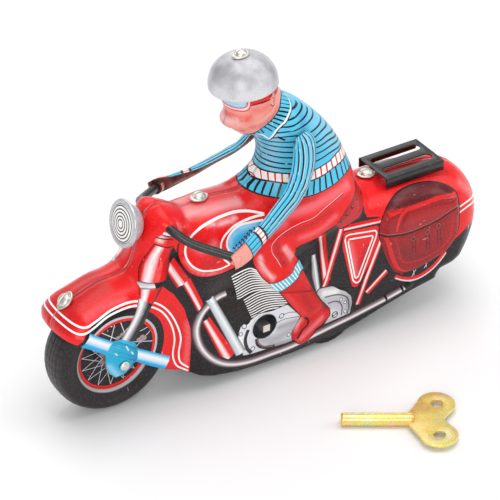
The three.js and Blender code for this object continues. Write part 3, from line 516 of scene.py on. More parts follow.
# Raised shapes on the flanks: line, flat half width, half width at the foot, rise.
RIDGES = [(FORK_TUBE, 0.9, 3.5, 0.9), (FORK_LEG, 0.8, 3.2, 0.7), (BAR, 1.2, 2.9, 0.7),
    (PIPE, 0.3, 2.1, 0.9), ([(-17.5, 49.3), (-11, 52), (-3, 53.6), (4, 53.6)], 0.2, 1.9, 0.55),
    ([(-13, 49.4), (-6, 51.7), (2, 52.2)], 0.1, 1.1, 0.25), ([(96, 64), (80, 60), (60, 54)], 4.4, 9.5, 1.8),
    ([(60, 54), (66, 40), (78, 24)], 3.6, 7.4, 1.6), ([(59.6, 50), (66, 38)], 1, 5, 0.7),
    ([(74.5, 11.5), (81, 15.5)], 2.2, 4.6, 1.0), ([(66, 33.5), (77.5, 22)], 3.4, 5.8, 0.7),
    ([(62, 38.2), (73.6, 43)], 1.6, 3.4, 0.5), ([(50, 44), (59, 30)], 5.5, 7.6, 0.5),
    ([(53, 18), (66, 21)], 6.5, 8.4, 0.5), ([(84, 18), (91, 19)], 6, 7.6, 0.5),
    ([(33, 42.6), (46.9, 12)], 0.5, 1.8, 0.6), ([(81.8, 52.8), (85.4, 32)], 0.3, 1.3, 0.4),
    ([(91.9, 52.5), (84.3, 30)], 0.2, 1.1, 0.4), ([(80, 41.5), (81.4, 30)], 0.5, 1.7, 0.6),
    ([(18.6, 60.9), (22.6, 52.5), (29.3, 39)], 0.4, 1.9, 0.5), ([(31.7, 33.5), (41.8, 12)], 0.5, 2.2, 0.5),
    ([(110, 40), (103.8, 25.2), (100, 16)], 0.2, 1.1, 0.4), ([(94, 52.4), (102, 51.4), (109.5, 50.6)], 0.3,
    1.3, 0.4), ([(103.5, 69), (106.6, 63.5), (106.4, 60.5), (99, 56)], 0.3, 1.5, 0.5),
    ([(74.6, 111), (70.8, 107.8), (67.6, 104.4), (64.6, 98)], 0.5, 1.8, 0.55),
    ([(66, 74.3), (75, 73), (84, 73.2), (94, 76)], 0.2, 1.4, 0.3), ([(50, 117.6), (54, 117)], 1.6, 2.6,
    0.5), ([(65.4, 116), (64.9, 112.6)], 0.5, 1.5, 0.7), ([(51, 106.6), (58, 106.6), (65, 110)], 0.8, 3.4,
    0.6), ([(50.4, 107), (50.2, 105.4)], 0.3, 2.0, 0.5), ([(52, 110.5), (57, 110)], 0.6, 3, 0.45)]
BAG_EDGE = closed(BAG, 1.0, smooth=True)
BOSS_EDGE = closed(BOSS, 1.0)


def relief(x, z):
    """How far the pressing stands out from the plain flank."""
    rise = np.zeros(x.shape)
    for line, flat_half, foot, height in RIDGES:
        line = smooth_line(line, 2.5) if len(line) > 2 else np.array(line, float)
        d = nearest(line, x, z)[0]
        rise = np.maximum(rise, height * (1 - smoothstep((d - flat_half) / (foot - flat_half))))
    for edge, height, reach in ((BAG_EDGE, 2.3, 2.6), (BOSS_EDGE, 1.1, 0.9)):
        loop = np.vstack([edge, edge[:1]])
        d = nearest(loop, x, z)[0] * np.where(inside(edge, x, z), 1, -1)
        rise = np.maximum(rise, height * smoothstep(d / reach))
    lid = nearest(smooth_line(FLAP_LINE, 2.0), x, z)[0]
    rise = rise - 0.45 * np.exp(-(lid / 0.7) ** 2)
    seam_of_tank = nearest(smooth_line(TANK_EDGE, 2.0), x, z)[0]
    return rise - 0.35 * np.exp(-(seam_of_tank / 0.9) ** 2)


FLAP_LINE = [(109.6, 43.9), (113.3, 43.1), (121, 41.6), (128.6, 41.8), (136.3, 42.9), (141.4, 44.6),
    (147, 46)]
TANK_EDGE = [(23.4, 67.6), (22.8, 64), (22.9, 60.7), (23.6, 58.7), (25.3, 56.1), (28.7, 53.4), (32.4, 52),
    (36.7, 51.3), (41, 51.4), (44.9, 52.1), (50, 54)]


def face_height(x, z):
    """Distance of the tin's outer face from the centre plane: full on the flank, none at the seam."""
    distance, crown, _ = nearest(SEAM_LINE, x, z)
    depth = np.clip(distance / np.maximum(crown, 1), 0, 1)
    return (half_width(x, z) + relief(x, z)) * np.sqrt(np.clip(1 - (1 - depth) ** 2, 0, 1))


def seam_rows():
    """Rows of corners close behind the seam, where the sheet turns over."""
    rows = []
    normal = normals_of(SEAM_LINE)
    for offset in (0.12, 0.45, 1.0, 1.8, 2.8, 4.0, 5.4, 7.0):
        line = SEAM_LINE[:, :2] + normal * offset
        if not inside(OUTLINE, line[60:61, 0], line[60:61, 1])[0]:
            line = SEAM_LINE[:, :2] - normal * offset
        d = nearest(SEAM_LINE, line[:, 0], line[:, 1])[0]
        keep = (np.abs(d - offset) < 0.08 * offset) & inside(OUTLINE, line[:, 0], line[:, 1])
        run = []
        for point, good in [*zip(line, keep), (None, False)]:
            if good:
                run.append(point)
                continue
            if len(run) > 1:
                rows.append(np.array(run))
            run = []
    return rows


TUBE = [(-1, INK), (-0.7, DARK_GREY), (-0.25, PALE_GREY), (0.1, WHITE), (0.5, GREY), (1, INK)]
SILVER_BAR = [(-1, DARK_GREY), (-0.7, rgb(176, 190, 200)), (-0.2, WHITE), (0.3, rgb(214, 222, 228)),
    (0.75, rgb(190, 202, 210)), (1, DARK_GREY)]
RED_TUBE = [(-1, DEEP_RED), (-0.85, RED), (-0.25, RED), (0.1, PALE_PINK), (0.3, WHITE), (0.5, PALE_PINK),
    (0.75, RED), (1, DEEP_RED)]


def print_fender(art):
    """The front mudguard, and the upper part of the wheel that is printed on it."""
    # The pink touch along the pressed bead near the top is a painted highlight on that bead.
    art.shape([(-25.6, 41), (-27, 50), (-14, 56), (3, 57.5), (14.2, 53.3), (18.9, 48.8), (23.2, 40.8),
        (26, 30.9), (26.3, 24.8), (25.4, 8), (15, 12), (15.8, 14.6), (16.9, 22.9), (16.6, 29), (13.4, 37.8),
        (9.1, 44.4), (-4, 48), (-16, 44)], airbrushed(RED, ([(-24, 45), (-17, 51.5), (-4, 55.6)], 1.8,
        DEEP_RED, 0.55), ([(-16, 48.5), (-8, 51.2), (0, 52.2)], 0.9, PINK, 0.4), ([(16.8, 44), (20.9, 35.5),
        (22.6, 26)], 1.1, DEEP_RED, 0.35), ([(24.6, 34), (25.3, 26), (24, 14)], 1.0, PINK, 0.4)))
    wheel = (-4.5, 30)
    for radius, colour in ((19.7, BLACK), (16.8, GREY), (15.9, RED), (14.8, BLACK)):
        art.disc(colour, *wheel, radius)
    for angle in range(12, 188, 32):
        for lean in (-22, 22):
            a, b = math.radians(angle - lean / 2), math.radians(angle + lean / 2)
            art.stroke([(wheel[0] + 7.5 * math.cos(b), wheel[1] + 7.5 * math.sin(b)),
                (wheel[0] + 14.6 * math.cos(a), wheel[1] + 14.6 * math.sin(a))], 0.15, PALE_GREY)
    for x, z in ((-4.8, 37.8), (-3, 38.8), (-2.2, 37), (5.6, 34.2), (5.2, 32.2), (4.2, 33.4), (6.6, 32.9)):
        art.area(circle(x, z, 1.1, 0.7, 0.8), airbrushed(rgb(150, 128, 130), ([(x, z), (x, z + 0.1)], 0.6,
            GREY, 0.8)))
    outer = smooth_line([(-27.5, 52), (-19.9, 47), (-17.4, 46.5), (-13.5, 47.4), (-6.2, 49.9), (0.2, 50.7),
        (6, 50), (10.5, 48.2), (15.1, 43.9), (19.7, 35.9), (22.4, 26.9), (21.5, 20.1), (22.1, 15.8),
        (25.2, 12.5)])
    inner = smooth_line([(-26, 48), (-21.2, 44.9), (-18.6, 44.6), (-14.1, 45.9), (-7.8, 48.3), (-0.4, 49.3),
        (5, 48.7), (9.6, 46.5), (14, 42.5), (18.1, 34.7), (19.8, 27.2), (19, 19.9), (20.5, 14.8), (25, 11)])
    for line in (outer, inner):
        art.stroke(line, 0.34, WHITE)


def print_fork(art):
    """The fork, its cross bar and the round boss at the axle."""
    lower_bar = smooth_line(BAR, 1.2)
    art.band(lower_bar, 3.1, [(-1, BOSS_BLUE), (-0.88, CYAN), (-0.7, PALE_SKY), (-0.45, WHITE),
        (-0.1, LAVENDER), (0.15, PALE_SKY), (0.4, CYAN), (0.75, CYAN), (1, BOSS_BLUE)])
    art.rod([(7.6, 50.2), (3.2, 41.4), (-0.8, 34.2)], [2.9, 3.3], [(-1, BLACK), (-0.3, BLACK),
        (-0.05, DARK_GREY), (0.35, GREY), (0.6, WHITE), (0.85, GREY), (1, INK)])
    art.rod([(17.9, 67.8), (11.4, 55.9), (7.6, 49.6)], [3.5, 3.7, 3.1], [(-1, INK), (-0.9, DEEP_RED),
        (-0.3, RED), (0.1, RED), (0.35, PALE_PINK), (0.5, WHITE), (0.66, PALE_PINK), (0.85, RED), (1, INK)])
    art.band([(6.8, 54.6), (15.4, 55.2)], 1.0, [(-1, INK), (-0.5, GREY), (0.4, PALE_GREY), (1, INK)])
    art.band([(11.4, 54.9), (15.6, 55.3)], 1.1, [(-1, INK), (1, BLACK)])
    art.shape([(14.4, 69), (21.2, 67), (20.9, 70.6), (20.2, 72), (17, 73), (15.1, 71.9)],
        airbrushed(RED, ([(16.4, 70.4), (17.2, 72.4)], 0.8, WHITE, 0.9)))
    art.shape([(17, 73), (20.2, 72), (20.5, 73.2), (17.6, 74.4)], flat(PALE_GREY))
    for line in ([(14.4, 69), (21.2, 67)], [(15.1, 71.9), (20.9, 70.4)], [(17, 73), (20.2, 72)]):
        art.stroke(line, 0.22, INK)
    # The boss is printed flat blue: the lighter patches along its front and top and the darker patch along
    # its back are painted highlight and painted shade on the pressed dome.
    art.area(BOSS_EDGE, airbrushed(BOSS_BLUE, ([(-8, 33), (-3, 35.4)], 1.6, SKY, 0.8),
        ([(-8.8, 26), (-5, 20.5)], 1.2, PALE_SKY, 0.7), ([(1.6, 22), (3, 28)], 1.0, rgb(16, 100, 150),
        0.7)))
    for a, b in (([-1.8, 33.2], [-0.6, 30.6]), ([-6.4, 31.6], [-5.4, 30.2]), ([0.6, 29.6], [1.4, 28])):
        art.stroke([a, b], 0.25, PALE_GREY)


def print_tank(art):
    """The tank with its white lines and blue patch."""
    art.shape([(23.1, 82), (23.4, 67.4), (22.8, 61), (23.6, 58.5), (25.3, 56.1), (28.7, 53.4), (32.4, 52),
        (36.7, 51.2), (41, 51.4), (44.9, 52.1), (50, 54), (56, 58), (60, 62), (62, 76), (50, 79)],
        airbrushed(RED, ([(30, 75), (36.9, 74.6), (42.8, 74.8), (52, 74)], 0.9, PALE_PINK, 0.6),
        ([(28.3, 68.5), (31.3, 65.5), (35.8, 66.5)], 1.6, PINK, 0.6), ([(25, 60.5), (28.3, 56.2),
        (34.3, 53), (40.1, 52.6)], 0.7, PINK, 0.7), ([(24, 73.5), (22, 76.5), (18, 79)], 1.1, PINK, 0.7),
        ([(30, 61.5), (33, 58), (38, 57)], 2.6, DEEP_RED, 0.5)))
    outside = [(58.7, 70), (54.3, 71.4), (50.5, 72.2), (47.1, 72.6), (42.6, 72.7), (37.8, 72.2),
        (32.5, 71.4), (28.7, 70), (26.3, 67.8), (25.4, 64.4), (25.6, 61), (27, 58.4), (30.1, 55.9),
        (34.3, 54.5), (38.4, 53.9), (42.4, 54.4)]
    inside_line = [(42.4, 54.4), (39.8, 57.9), (38.7, 61.3), (38.6, 64.1), (39.9, 66.3), (42.4, 68),
        (45.3, 69.1), (49.5, 69.6), (53.3, 69.8), (58.6, 69.8)]
    loop = np.vstack([smooth_line(outside, 1.0), smooth_line(inside_line, 1.0)[1:]])
    art.area(loop, airbrushed(RED, ([(35.2, 72), (41, 71), (47, 71.2)], 0.7, PALE_PINK, 0.8),
        ([(29, 66), (32, 63.5), (36, 65.5)], 1.5, PINK, 0.65), ([(31, 58), (35, 57), (37, 60)], 2.0,
        DEEP_RED, 0.5)))
    patch = [(42, 60.6), (41.1, 63.3), (41.7, 65.4), (43.3, 67), (45.7, 68.2), (48.8, 68.7), (52.7, 68.5),
        (58, 68.2), (58.5, 62), (52, 57), (45, 56)]
    art.shape(patch, airbrushed(CYAN, ([(42.5, 61), (42.4, 65), (46, 67.4), (54, 67.7)], 1.1, PALE_SKY,
        0.9), ([(46, 59), (49, 63), (57, 65)], 1.6, rgb(20, 60, 120), 0.7)))
    for step in range(5):
        for k in range(9):
            x, z = 43.4 + 1.25 * k + 0.7 * step, 59.8 + 0.8 * k + 0.5 * (step % 2) - 0.9 * step + 1.6
            if z < 66.6:
                art.shape([(x, z), (x + 0.75, z + 0.3), (x + 0.9, z - 0.35), (x + 0.15, z - 0.6)],
                    flat(INK))
                art.shape([(x + 0.7, z - 0.4), (x + 1.3, z - 0.1), (x + 1.4, z - 0.7)], flat(PALE_GREY))
    for line in (outside, inside_line):
        art.curve(line, 0.36, WHITE)
    second = smooth_line([(42, 60.6), (41.1, 63.3), (41.6, 65.4), (43.1, 67.1), (45.5, 68.3), (48.6, 68.8),
        (52.7, 68.6), (57.6, 68.2)])
    art.stroke(second, 0.36, WHITE)
    art.curve(TANK_EDGE, 0.3, INK)


def print_engine(art):
    """The black side with the engine, frame tubes and exhaust."""
    art.shape([(21.2, 67), (23, 63), (22.8, 60.7), (25.3, 56.1), (28.7, 53.4), (32.4, 52), (36.7, 51.2),
        (44.9, 52.1), (53.5, 56), (60, 55), (74, 53.5), (88, 57), (91.6, 53.1), (98.5, 54.6), (102.8, 58.7),
        (102.8, 56.7), (103.7, 54), (109.4, 52.4), (109.6, 43.9), (111.2, 37.2), (114.2, 29.4),
        (117.2, 24.2), (121, 21.5), (128, 20), (134, 21), (141, 25), (149, 30), (154, 33), (159, 32),
        (164, 26), (154, 11), (124, 10), (100, 4), (60, 2), (40, 3), (25, 9.5), (26.3, 24.8), (26, 30.9),
        (23.2, 40.8), (18.9, 48.8), (14.2, 54)], airbrushed(BLACK, ([(40, 48), (36, 46)], 4,
        rgb(60, 56, 60), 0.6), ([(45, 5.6), (70, 5.2), (95, 7)], 1.2, rgb(50, 47, 50), 0.8)))
    art.rod([(31.7, 33.5), (41.8, 12.2)], [1.7, 3.0], RED_TUBE, 1.5)
    art.rod([(24, 53), (28.2, 43), (30.6, 36.6)], [2.0, 1.7, 1.6], RED_TUBE, 1.5)
    art.band([(18.4, 61.4), (22.9, 52.3)], 2.9, RED_TUBE)
    leg_front = np.array([(67.4, 27), (66.2, 30.6), (63.2, 35.1), (59.4, 40), (56.6, 42.9), (54.7, 46.1),
        (53, 49)])
    # two banks of cylinder fins: how many, the top one, their gap, and how each one starts, leans and bends
    for count, top, gap, start, lean, rise, reach, fall in ((10, 48.6, 1.2, 43, 0.27, 1.3, 8, 1.2),
            (9, 36.5, 1.18, 48, 0.46, 1.2, 9, 1.0)):
        for k in range(count):
            z, left = top - gap * k, start + lean * k
            right = np.interp(z - 1.2, leg_front[:, 1], leg_front[:, 0]) + 0.3
            art.curve([(left, z), (left + 5.4, z + rise), (left + reach, z + fall), (right, z - fall)],
                0.25, WHITE, 1.2)
    crank = [(51.8, 26.2), (54.8, 27.9), (61.2, 27), (67.6, 27.6), (73.9, 19.6), (71.9, 16.6), (70, 11.1),
        (70.5, 8.6), (64.9, 9.1), (51.8, 9.9), (47.8, 10.4), (45.5, 19.3), (45.8, 21.8), (47.1, 24.9),
        (49.8, 24.6)]
    art.shape(crank, airbrushed(PALE_GREY, ([(64, 18), (72, 18)], 1.6, DARK_GREY, 0.6),
        ([(60, 10.2), (70, 9)], 1.6, DARK_GREY, 0.7), ([(47, 13), (46.6, 20)], 1.0, WHITE, 0.9),
        ([(56, 15), (62, 13.4), (70, 15)], 2.6, rgb(168, 168, 174), 0.9)))
    art.rim(crank, 0.2, INK)
    art.curve([(50, 22.2), (48.7, 18.2), (49.5, 13.7), (51.5, 10.6)], 0.75, rgb(44, 40, 44))
    art.curve([(53.8, 16.6), (54.3, 13.8), (57.4, 11), (62.2, 9.6)], 0.8, rgb(50, 40, 42))
    art.curve([(54.2, 16.4), (54.8, 14), (57.8, 11.3), (61.4, 10.1)], 0.3, rgb(126, 108, 106))
    for line in ([(63.6, 22.6), (68, 23.4), (72.4, 22)], [(62, 20.4), (66, 21), (73, 19.8)]):
        art.curve(line, 0.16, DARK_GREY)
    for x, z, r in ((48.4, 24.2, 1.1), (46.8, 21.2, 0.9), (52, 12.6, 1.1), (65, 23, 1.2), (68.6, 12.6, 1.0)):
        art.bolt(x, z, r, 0.72)
    art.rod(PIPE, 2.1, [(-1, BLACK), (-0.7, rgb(60, 46, 52)), (-0.35, rgb(150, 130, 136)), (0, WHITE),
        (0.35, rgb(176, 160, 166)), (0.7, rgb(70, 54, 60)), (1, BLACK)])
    art.rod([(33.3, 42.5), (36.5, 35.5), (41.4, 24.5), (46.8, 12.4)], [1.8, 2.2], SILVER_BAR)
    art.stroke([(112.6, 15.6), (114, 10.8)], 0.5, INK)
    art.stroke([(120.2, 16.9), (121.8, 12.4)], 0.5, INK)


def print_behind_leg(art):
    """The frame tubes, tool box and gearbox behind the rider's leg."""
    art.rod([(79.5, 45.5), (80.2, 37), (81.4, 29)], [1.1, 1.6, 1.4], TUBE)
    art.band([(82.2, 54), (85.6, 31)], 1.9, RED_TUBE)
    art.band([(92.2, 53.4), (84.6, 29)], 1.4, RED_TUBE)
    art.rod([(93.2, 52.6), (102, 51.6), (109.8, 50.5)], 1.3, RED_TUBE)
    box = [(92.9, 51.2), (109.4, 48.8), (110, 39.8), (100.1, 23), (97.3, 24), (92.3, 44.4)]
    art.area(rounded(box, 1.5), airbrushed(RED, ([(96, 44), (99, 30)], 1.4, PINK, 0.5),
        ([(104, 40), (101, 32)], 2, DEEP_RED, 0.6)))
    art.rim(box, 0.26, INK, 1.5)
    for loop in ([(93.9, 48.6), (95.4, 49), (107.7, 46.7), (108.4, 45.4), (108.2, 44), (101, 25.6),
            (99.5, 25.3), (97.9, 26.9), (93.8, 46.4)], [(95.6, 46.8), (106.4, 44.8), (106.6, 43.8),
            (100.2, 28), (99.2, 27.6), (98.6, 28.8), (95.2, 45.6)]):
        art.rim(loop, 0.32, WHITE, 1.5)
    art.band([(110.6, 41.5), (103.8, 25.2), (100.2, 15)], 1.2, RED_TUBE)
    art.band([(113.6, 26), (104.4, 19)], 1.25, RED_TUBE)
    gear = [(80.1, 28.3), (81.5, 29.3), (86, 28.6), (88.6, 28.1), (91.2, 25.9), (94.3, 23.9), (97.1, 20.5),
        (97.7, 16), (97, 12), (84, 11.4), (86.8, 15), (86.6, 18.6), (82, 24.8)]
    art.shape(gear, airbrushed(GREY, ([(84, 26), (90, 25)], 1.4, WHITE, 0.8), ([(88, 16), (92, 12.5)], 2.2,
        PALE_GREY, 0.7), ([(95, 20), (96.8, 14)], 1.0, DARK_GREY, 0.6)))
    art.rim(gear, 0.28, INK)
    art.curve([(84.6, 24.3), (89.2, 23.8), (92.8, 22.4), (95.3, 19.9), (95.8, 15.5), (95.4, 11.8)], 0.3,
        DARK_GREY)
    art.curve([(86, 21), (90, 20.6), (92.6, 17.6), (92.4, 13)], 0.3, DARK_GREY)
    for x, z, r in ((92.1, 20.6, 0.9), (94.1, 18.6, 0.8), (94.2, 14.3, 0.9), (89.4, 14.5, 1.5)):
        art.bolt(x, z, r)
    art.stroke([(88.4, 14.2), (90.4, 14.8)], 0.25, INK)


def print_leg(art):
    """The rider's trousers, boot and cuff."""
    trousers = [(61, 78), (59.6, 70), (57, 64.4), (54, 59), (52.8, 55.5), (52.1, 52.9), (52.9, 50.1),
        (54.9, 46.1), (56.8, 42.9), (59.4, 40), (63.6, 40.2), (67.6, 41.3), (70.4, 43.6), (72.6, 45.7),
        (70.6, 50), (70.2, 52.7), (74.3, 53.5), (79.9, 53.9), (84.8, 56), (89.3, 58.5), (92.2, 62),
        (101, 72), (104, 78), (60, 84)]
    art.shape(trousers, airbrushed(RED, ([(54.6, 54), (55.4, 50), (58, 45.5), (60.6, 42.4)], 0.8, PALE_PINK,
        0.85), ([(66, 67.5), (76.2, 67.6), (84, 69), (94, 71.6)], 1.9, PINK, 0.55),
        ([(52, 60), (58, 62.5), (66, 64.5)], 1.5, PINK, 0.5), ([(65.2, 54.8), (69.1, 48.4)], 0.9, PALE_PINK,
        0.75), ([(62, 57.5), (62.6, 52.5), (66, 46.5)], 1.2, DEEP_RED, 0.7),
        ([(66, 60), (76, 61), (86, 64)], 1.1, DEEP_RED, 0.6), ([(72, 56.6), (80, 57), (88, 61)], 1.1, PINK,
        0.4), ([(56, 73.6), (66, 71.4), (80, 70.4)], 0.9, DEEP_RED, 0.5)))
    crease = smooth_line([(91.5, 69.4), (83.1, 65.8), (78.2, 63.4), (72.2, 62.9), (66.3, 61.5),
        (61.9, 59.6), (59.9, 57.7), (60, 54.2), (62.4, 49.8), (64.1, 46.1)])
    art.stroke(crease, 0.13, rgb(90, 16, 22))
    art.stroke(crease + np.array([-0.2, 0.26]), 0.1, PALE_PINK)
    for line in ([(52.3, 55.6), (52.1, 52.9), (52.9, 50.1), (54.9, 46.1), (56.8, 42.9), (59.4, 40)],
            [(72.6, 45.7), (70.4, 50), (70.2, 52.7), (74.3, 53.5), (79.9, 53.9), (84.8, 56)]):
        art.curve(line, 0.15, INK)
    boot = [(63.2, 35.3), (66.2, 30.6), (69.6, 25.5), (73.7, 19.6), (71.9, 16.6), (69.9, 13.2), (70, 10),
        (72.5, 7.2), (75.6, 6.6), (79.2, 9.1), (83.3, 11.8), (87.3, 15), (87, 18.3), (82, 24.8),
        (79.9, 28.6), (77.3, 34.1), (74.8, 40.6), (70, 38.5)]
    art.shape(boot, airbrushed(rgb(212, 8, 14), ([(66.4, 33.4), (70.2, 27), (75, 20.6)], 0.9,
        rgb(240, 60, 62), 0.7), ([(78.4, 32), (81.6, 26), (86, 19)], 1.2, rgb(70, 10, 14), 0.8),
        ([(73, 32), (77.6, 23)], 1.3, DEEP_RED, 0.7), ([(73.4, 9.4), (77, 11.6), (83, 15.6)], 1.1, PINK,
        0.6), ([(71.5, 15), (74, 17.6)], 0.8, PALE_PINK, 0.6)))
    art.rim(boot, 0.17, INK)
    art.curve([(75.3, 18.6), (77, 16.8), (76.5, 14.9), (74, 13.2), (72, 9.8)], 0.5, rgb(70, 6, 10))
    cuff_top = [(59.2, 40), (63.6, 40.2), (67.6, 41.3), (70.4, 43.6), (72.8, 45.9)]
    cuff_low = [(62.8, 35), (65.2, 35.5), (68.7, 36.8), (71.7, 38.8), (74.7, 41.3)]
    ring = np.vstack([smooth_line(cuff_top, 0.8), smooth_line(cuff_low, 0.8)[::-1]])
    art.area(ring, flat(rgb(100, 190, 216)))
    for k in range(10):
        t = (k + 0.6) / 10.4
        a, b = (smooth_line(line, 0.5) for line in (cuff_top, cuff_low))
        art.stroke([a[int(t * (len(a) - 1))] * 0.93 + b[int(t * (len(b) - 1))] * 0.07,
            a[int(t * (len(a) - 1))] * 0.1 + b[int(t * (len(b) - 1))] * 0.9], 0.22, WHITE)
    art.curve(cuff_top, 0.15, INK)
    art.curve(cuff_low, 0.15, INK)


def print_rear(art):
    """The saddle, rear mudguard and the lower edge of the rear wheel."""
    art.shape([(88, 57), (92.2, 62), (100.4, 72.5), (107, 72), (110.5, 60.5), (108, 59.6), (102.8, 58.6),
        (98.5, 54.6), (91.6, 53.1)], airbrushed(rgb(196, 28, 34), ([(103.5, 68.5), (106.6, 63.6)], 0.8,
        PINK, 0.6), ([(96, 66), (92, 61), (89.5, 57.6)], 1.4, rgb(80, 16, 22), 0.6),
        ([(101, 70), (97.5, 67)], 1.2, rgb(90, 16, 22), 0.6)))
    seat_edge = smooth_line([(99.8, 72.6), (103, 68.6), (106.5, 64.2), (107.6, 60.5), (102.8, 58.7),
        (98.5, 54.8), (91.6, 53.2), (87.2, 56)])
    art.stroke(seat_edge[3:], 0.16, INK)
    for x, z in ((102.2, 64.9), (98.3, 64.6), (95.5, 62.5), (93.2, 60), (91, 57.5), (104.6, 62)):
        art.disc(rgb(60, 10, 14), x, z, 0.8, 0.55)
        art.disc(rgb(214, 90, 92), x + 0.2, z + 0.2, 0.35, 0.4)
    art.shape([(102.8, 58.7), (103, 56.7), (103.9, 54.4), (109.6, 52.2), (112, 55), (118, 58.6),
        (133, 59.6), (146.4, 51), (147.4, 44), (147.4, 37.8), (150, 38.4), (152.6, 38.4), (162, 37.6),
        (164, 52), (145, 63), (112, 64), (106, 62)], airbrushed(RED, ([(150, 52), (155, 46), (157.6, 40)],
        1.5, PINK, 0.55), ([(114, 60.2), (130, 60.6), (146, 56.4)], 0.8, DEEP_RED, 0.7)))
    for points in ([(146.6, 43.6), (150.1, 44.2), (154.4, 43.8), (162, 41.6)],
            [(146.8, 40.9), (149.4, 41.8), (153, 42), (162, 39.4)]):
        art.curve(points, 0.36, WHITE)
    art.shape([(119.5, 20.6), (122, 22), (127.4, 21.5), (134.6, 23), (141.3, 25.3), (145.6, 29.2),
        (152, 33), (157, 32), (159, 24), (146, 12), (124, 11)], flat(BLACK))
    rim = smooth_line([(117.6, 21.8), (121, 19.6), (124.5, 18.2), (128.6, 17.7), (133.8, 19), (138, 21.6),
        (141.6, 25.2)])
    art.stroke(rim, 0.9, RED)
    art.stroke(rim + np.array([0.3, -0.9]), 0.3, PALE_GREY)
    for x, z in ((126.6, 20.4), (132.4, 22.2)):
        art.stroke([(x - 0.9, z - 1.5), (x + 1.1, z + 1.3)], 0.13, PALE_GREY)
        art.stroke([(x + 0.2, z - 1.4), (x - 0.1, z + 1.5)], 0.13, PALE_GREY)


def piping(edge):
    """Colours across the bag's piping, with a dark edge from the given place outwards."""
    return [(-1, LID_RED), (-edge, STRAP_RED), (edge, STRAP_RED), (1, LID_RED)]


def print_bag(art):
    """The saddle bag with its lid, piping, stitching and buckles."""
    art.area(BAG_EDGE, airbrushed(BAG_RED, ([(122, 46.4), (134, 47), (144, 46)], 2.4, rgb(176, 30, 34),
        0.8), ([(118, 36), (123, 30), (132, 28)], 2.6, rgb(120, 20, 26), 0.7), ([(143, 40), (142, 32)], 2.2,
        rgb(172, 26, 30), 0.7)))
    lid_edge = [(110.9, 52.2), (113.2, 53.4), (116.3, 53.6), (121.3, 53.2), (129.1, 53.0), (137.3, 53.0),
        (146.1, 51)]
    lid = [(109.9, 50.3), (112.9, 53.8), (118.3, 56.4), (125.1, 57.5), (132.6, 57.2), (139, 55.7),
        (143.9, 53), (146.4, 50.6)]
    art.area(np.vstack([smooth_line(lid, 1.0), smooth_line(lid_edge, 1.0)[::-1]]),
        airbrushed(LID_RED, ([(118, 55), (128, 56), (138, 54.4)], 0.7, rgb(130, 44, 50), 0.6)))
    art.rod([(x, z - 1.1) for x, z in lid_edge[1:]], 0.95, piping(0.7), 1.0)
    art.curve(FLAP_LINE, 0.42, INK)
    art.curve([(x, z + 0.8) for x, z in FLAP_LINE], 0.2, rgb(200, 70, 74))
    art.rod([(122, 52.2), (118.8, 51), (117, 48.6), (116.2, 44.4)], 0.9, piping(0.6), 1.0)
    art.rod([(111.7, 42.8), (113.2, 38.2), (115.4, 31.3), (118, 26.2), (121.6, 23.8), (128, 23.4),
        (134.6, 24.6), (140.4, 26.9), (144.2, 30.2), (146, 35), (146, 43)], 1.05, piping(0.5), 1.0)
    stitched = smooth_line([(115.2, 42), (117.1, 36.6), (118.2, 32), (120.6, 28.6), (126.7, 27.4),
        (134.6, 28.4), (140.2, 31), (142.6, 36), (142.4, 43)], 0.9)
    art.stroke(stitched, 0.3, rgb(206, 22, 26))
    for a, b in zip(stitched[::2], stitched[1::2]):
        art.stroke([a, b], 0.12, rgb(90, 10, 16))
    for x, z, foot in ((124.1, 38.4, 31.6), (130.7, 39.2, 31), (135.9, 40.2, 31.2)):
        lean = (z - foot) * 0.1
        for side in (-0.75, 0.75):
            art.stroke([(x + side, z + 1), (x + side + lean, foot)], 0.16, rgb(70, 12, 16))
        for r, pitch, colour in ((1.25, 0.6, rgb(60, 12, 16)), (1.0, 0.5, rgb(184, 84, 84)),
                (0.75, 0.45, rgb(96, 18, 24))):
            art.disc(colour, x, z, r, pitch, 1.3)
        art.stroke([(x + lean * 0.6 - 0.5, foot + 3), (x + lean * 0.6 + 0.6, foot + 2.7)], 0.2,
            rgb(60, 12, 16))
    art.stroke(np.vstack([BAG_EDGE, BAG_EDGE[:1]]), 0.2, INK)


HEM = [(55, 76.4), (60.1, 75.1), (66.7, 73.7), (74.8, 72.6), (81.1, 72.3), (88.1, 73.4), (93.4, 75.2),
    (103, 75)]
BAND_LOW = [(59.5, 78.7), (62, 78.9), (65, 79), (69, 78.5), (77.7, 77.8), (84.1, 78.3), (90.3, 80.3),
    (101, 80.3)]
BAND_TOP = [(61, 82), (64, 81.9), (66.2, 82.1), (69.3, 82.1), (74, 81.8), (80, 81.8), (86.4, 83.3),
    (91, 84.8), (100, 83.8)]
STRIPES = [[(72.2, 108.9), (78, 107.8)], [(69.6, 106), (74, 106.4), (80.5, 106.2)],
    [(67.1, 103.4), (72.9, 104.1), (82.6, 104.3)], [(65.5, 100.9), (70.4, 101.7), (76.9, 102.1),
    (85.6, 101.8)], [(63.9, 98), (68.6, 99.1), (77.2, 98.5), (81.8, 98.5), (89.4, 98)],
    [(62, 95.9), (69, 96.2), (75, 96), (80, 95.9), (85, 96.2), (91.6, 94.8)],
    [(62.8, 93.5), (69, 93.6), (75.5, 93.4), (81.8, 93.5), (87.5, 93.5), (95, 90.6)],
    [(63.4, 91), (69, 91.1), (75.5, 91.2), (81.9, 91.4), (88, 91.4), (97, 88)],
    [(64, 88.5), (69, 88.6), (75.5, 88.7), (81.7, 88.8), (88.7, 89.1), (98.6, 86.2)],
    [(64, 86), (69, 86), (75, 85.8), (81.3, 85.6), (88.1, 86.8), (99, 84.6)],
    [(63.8, 84), (69, 84), (74, 83.9), (80, 83.8)]]


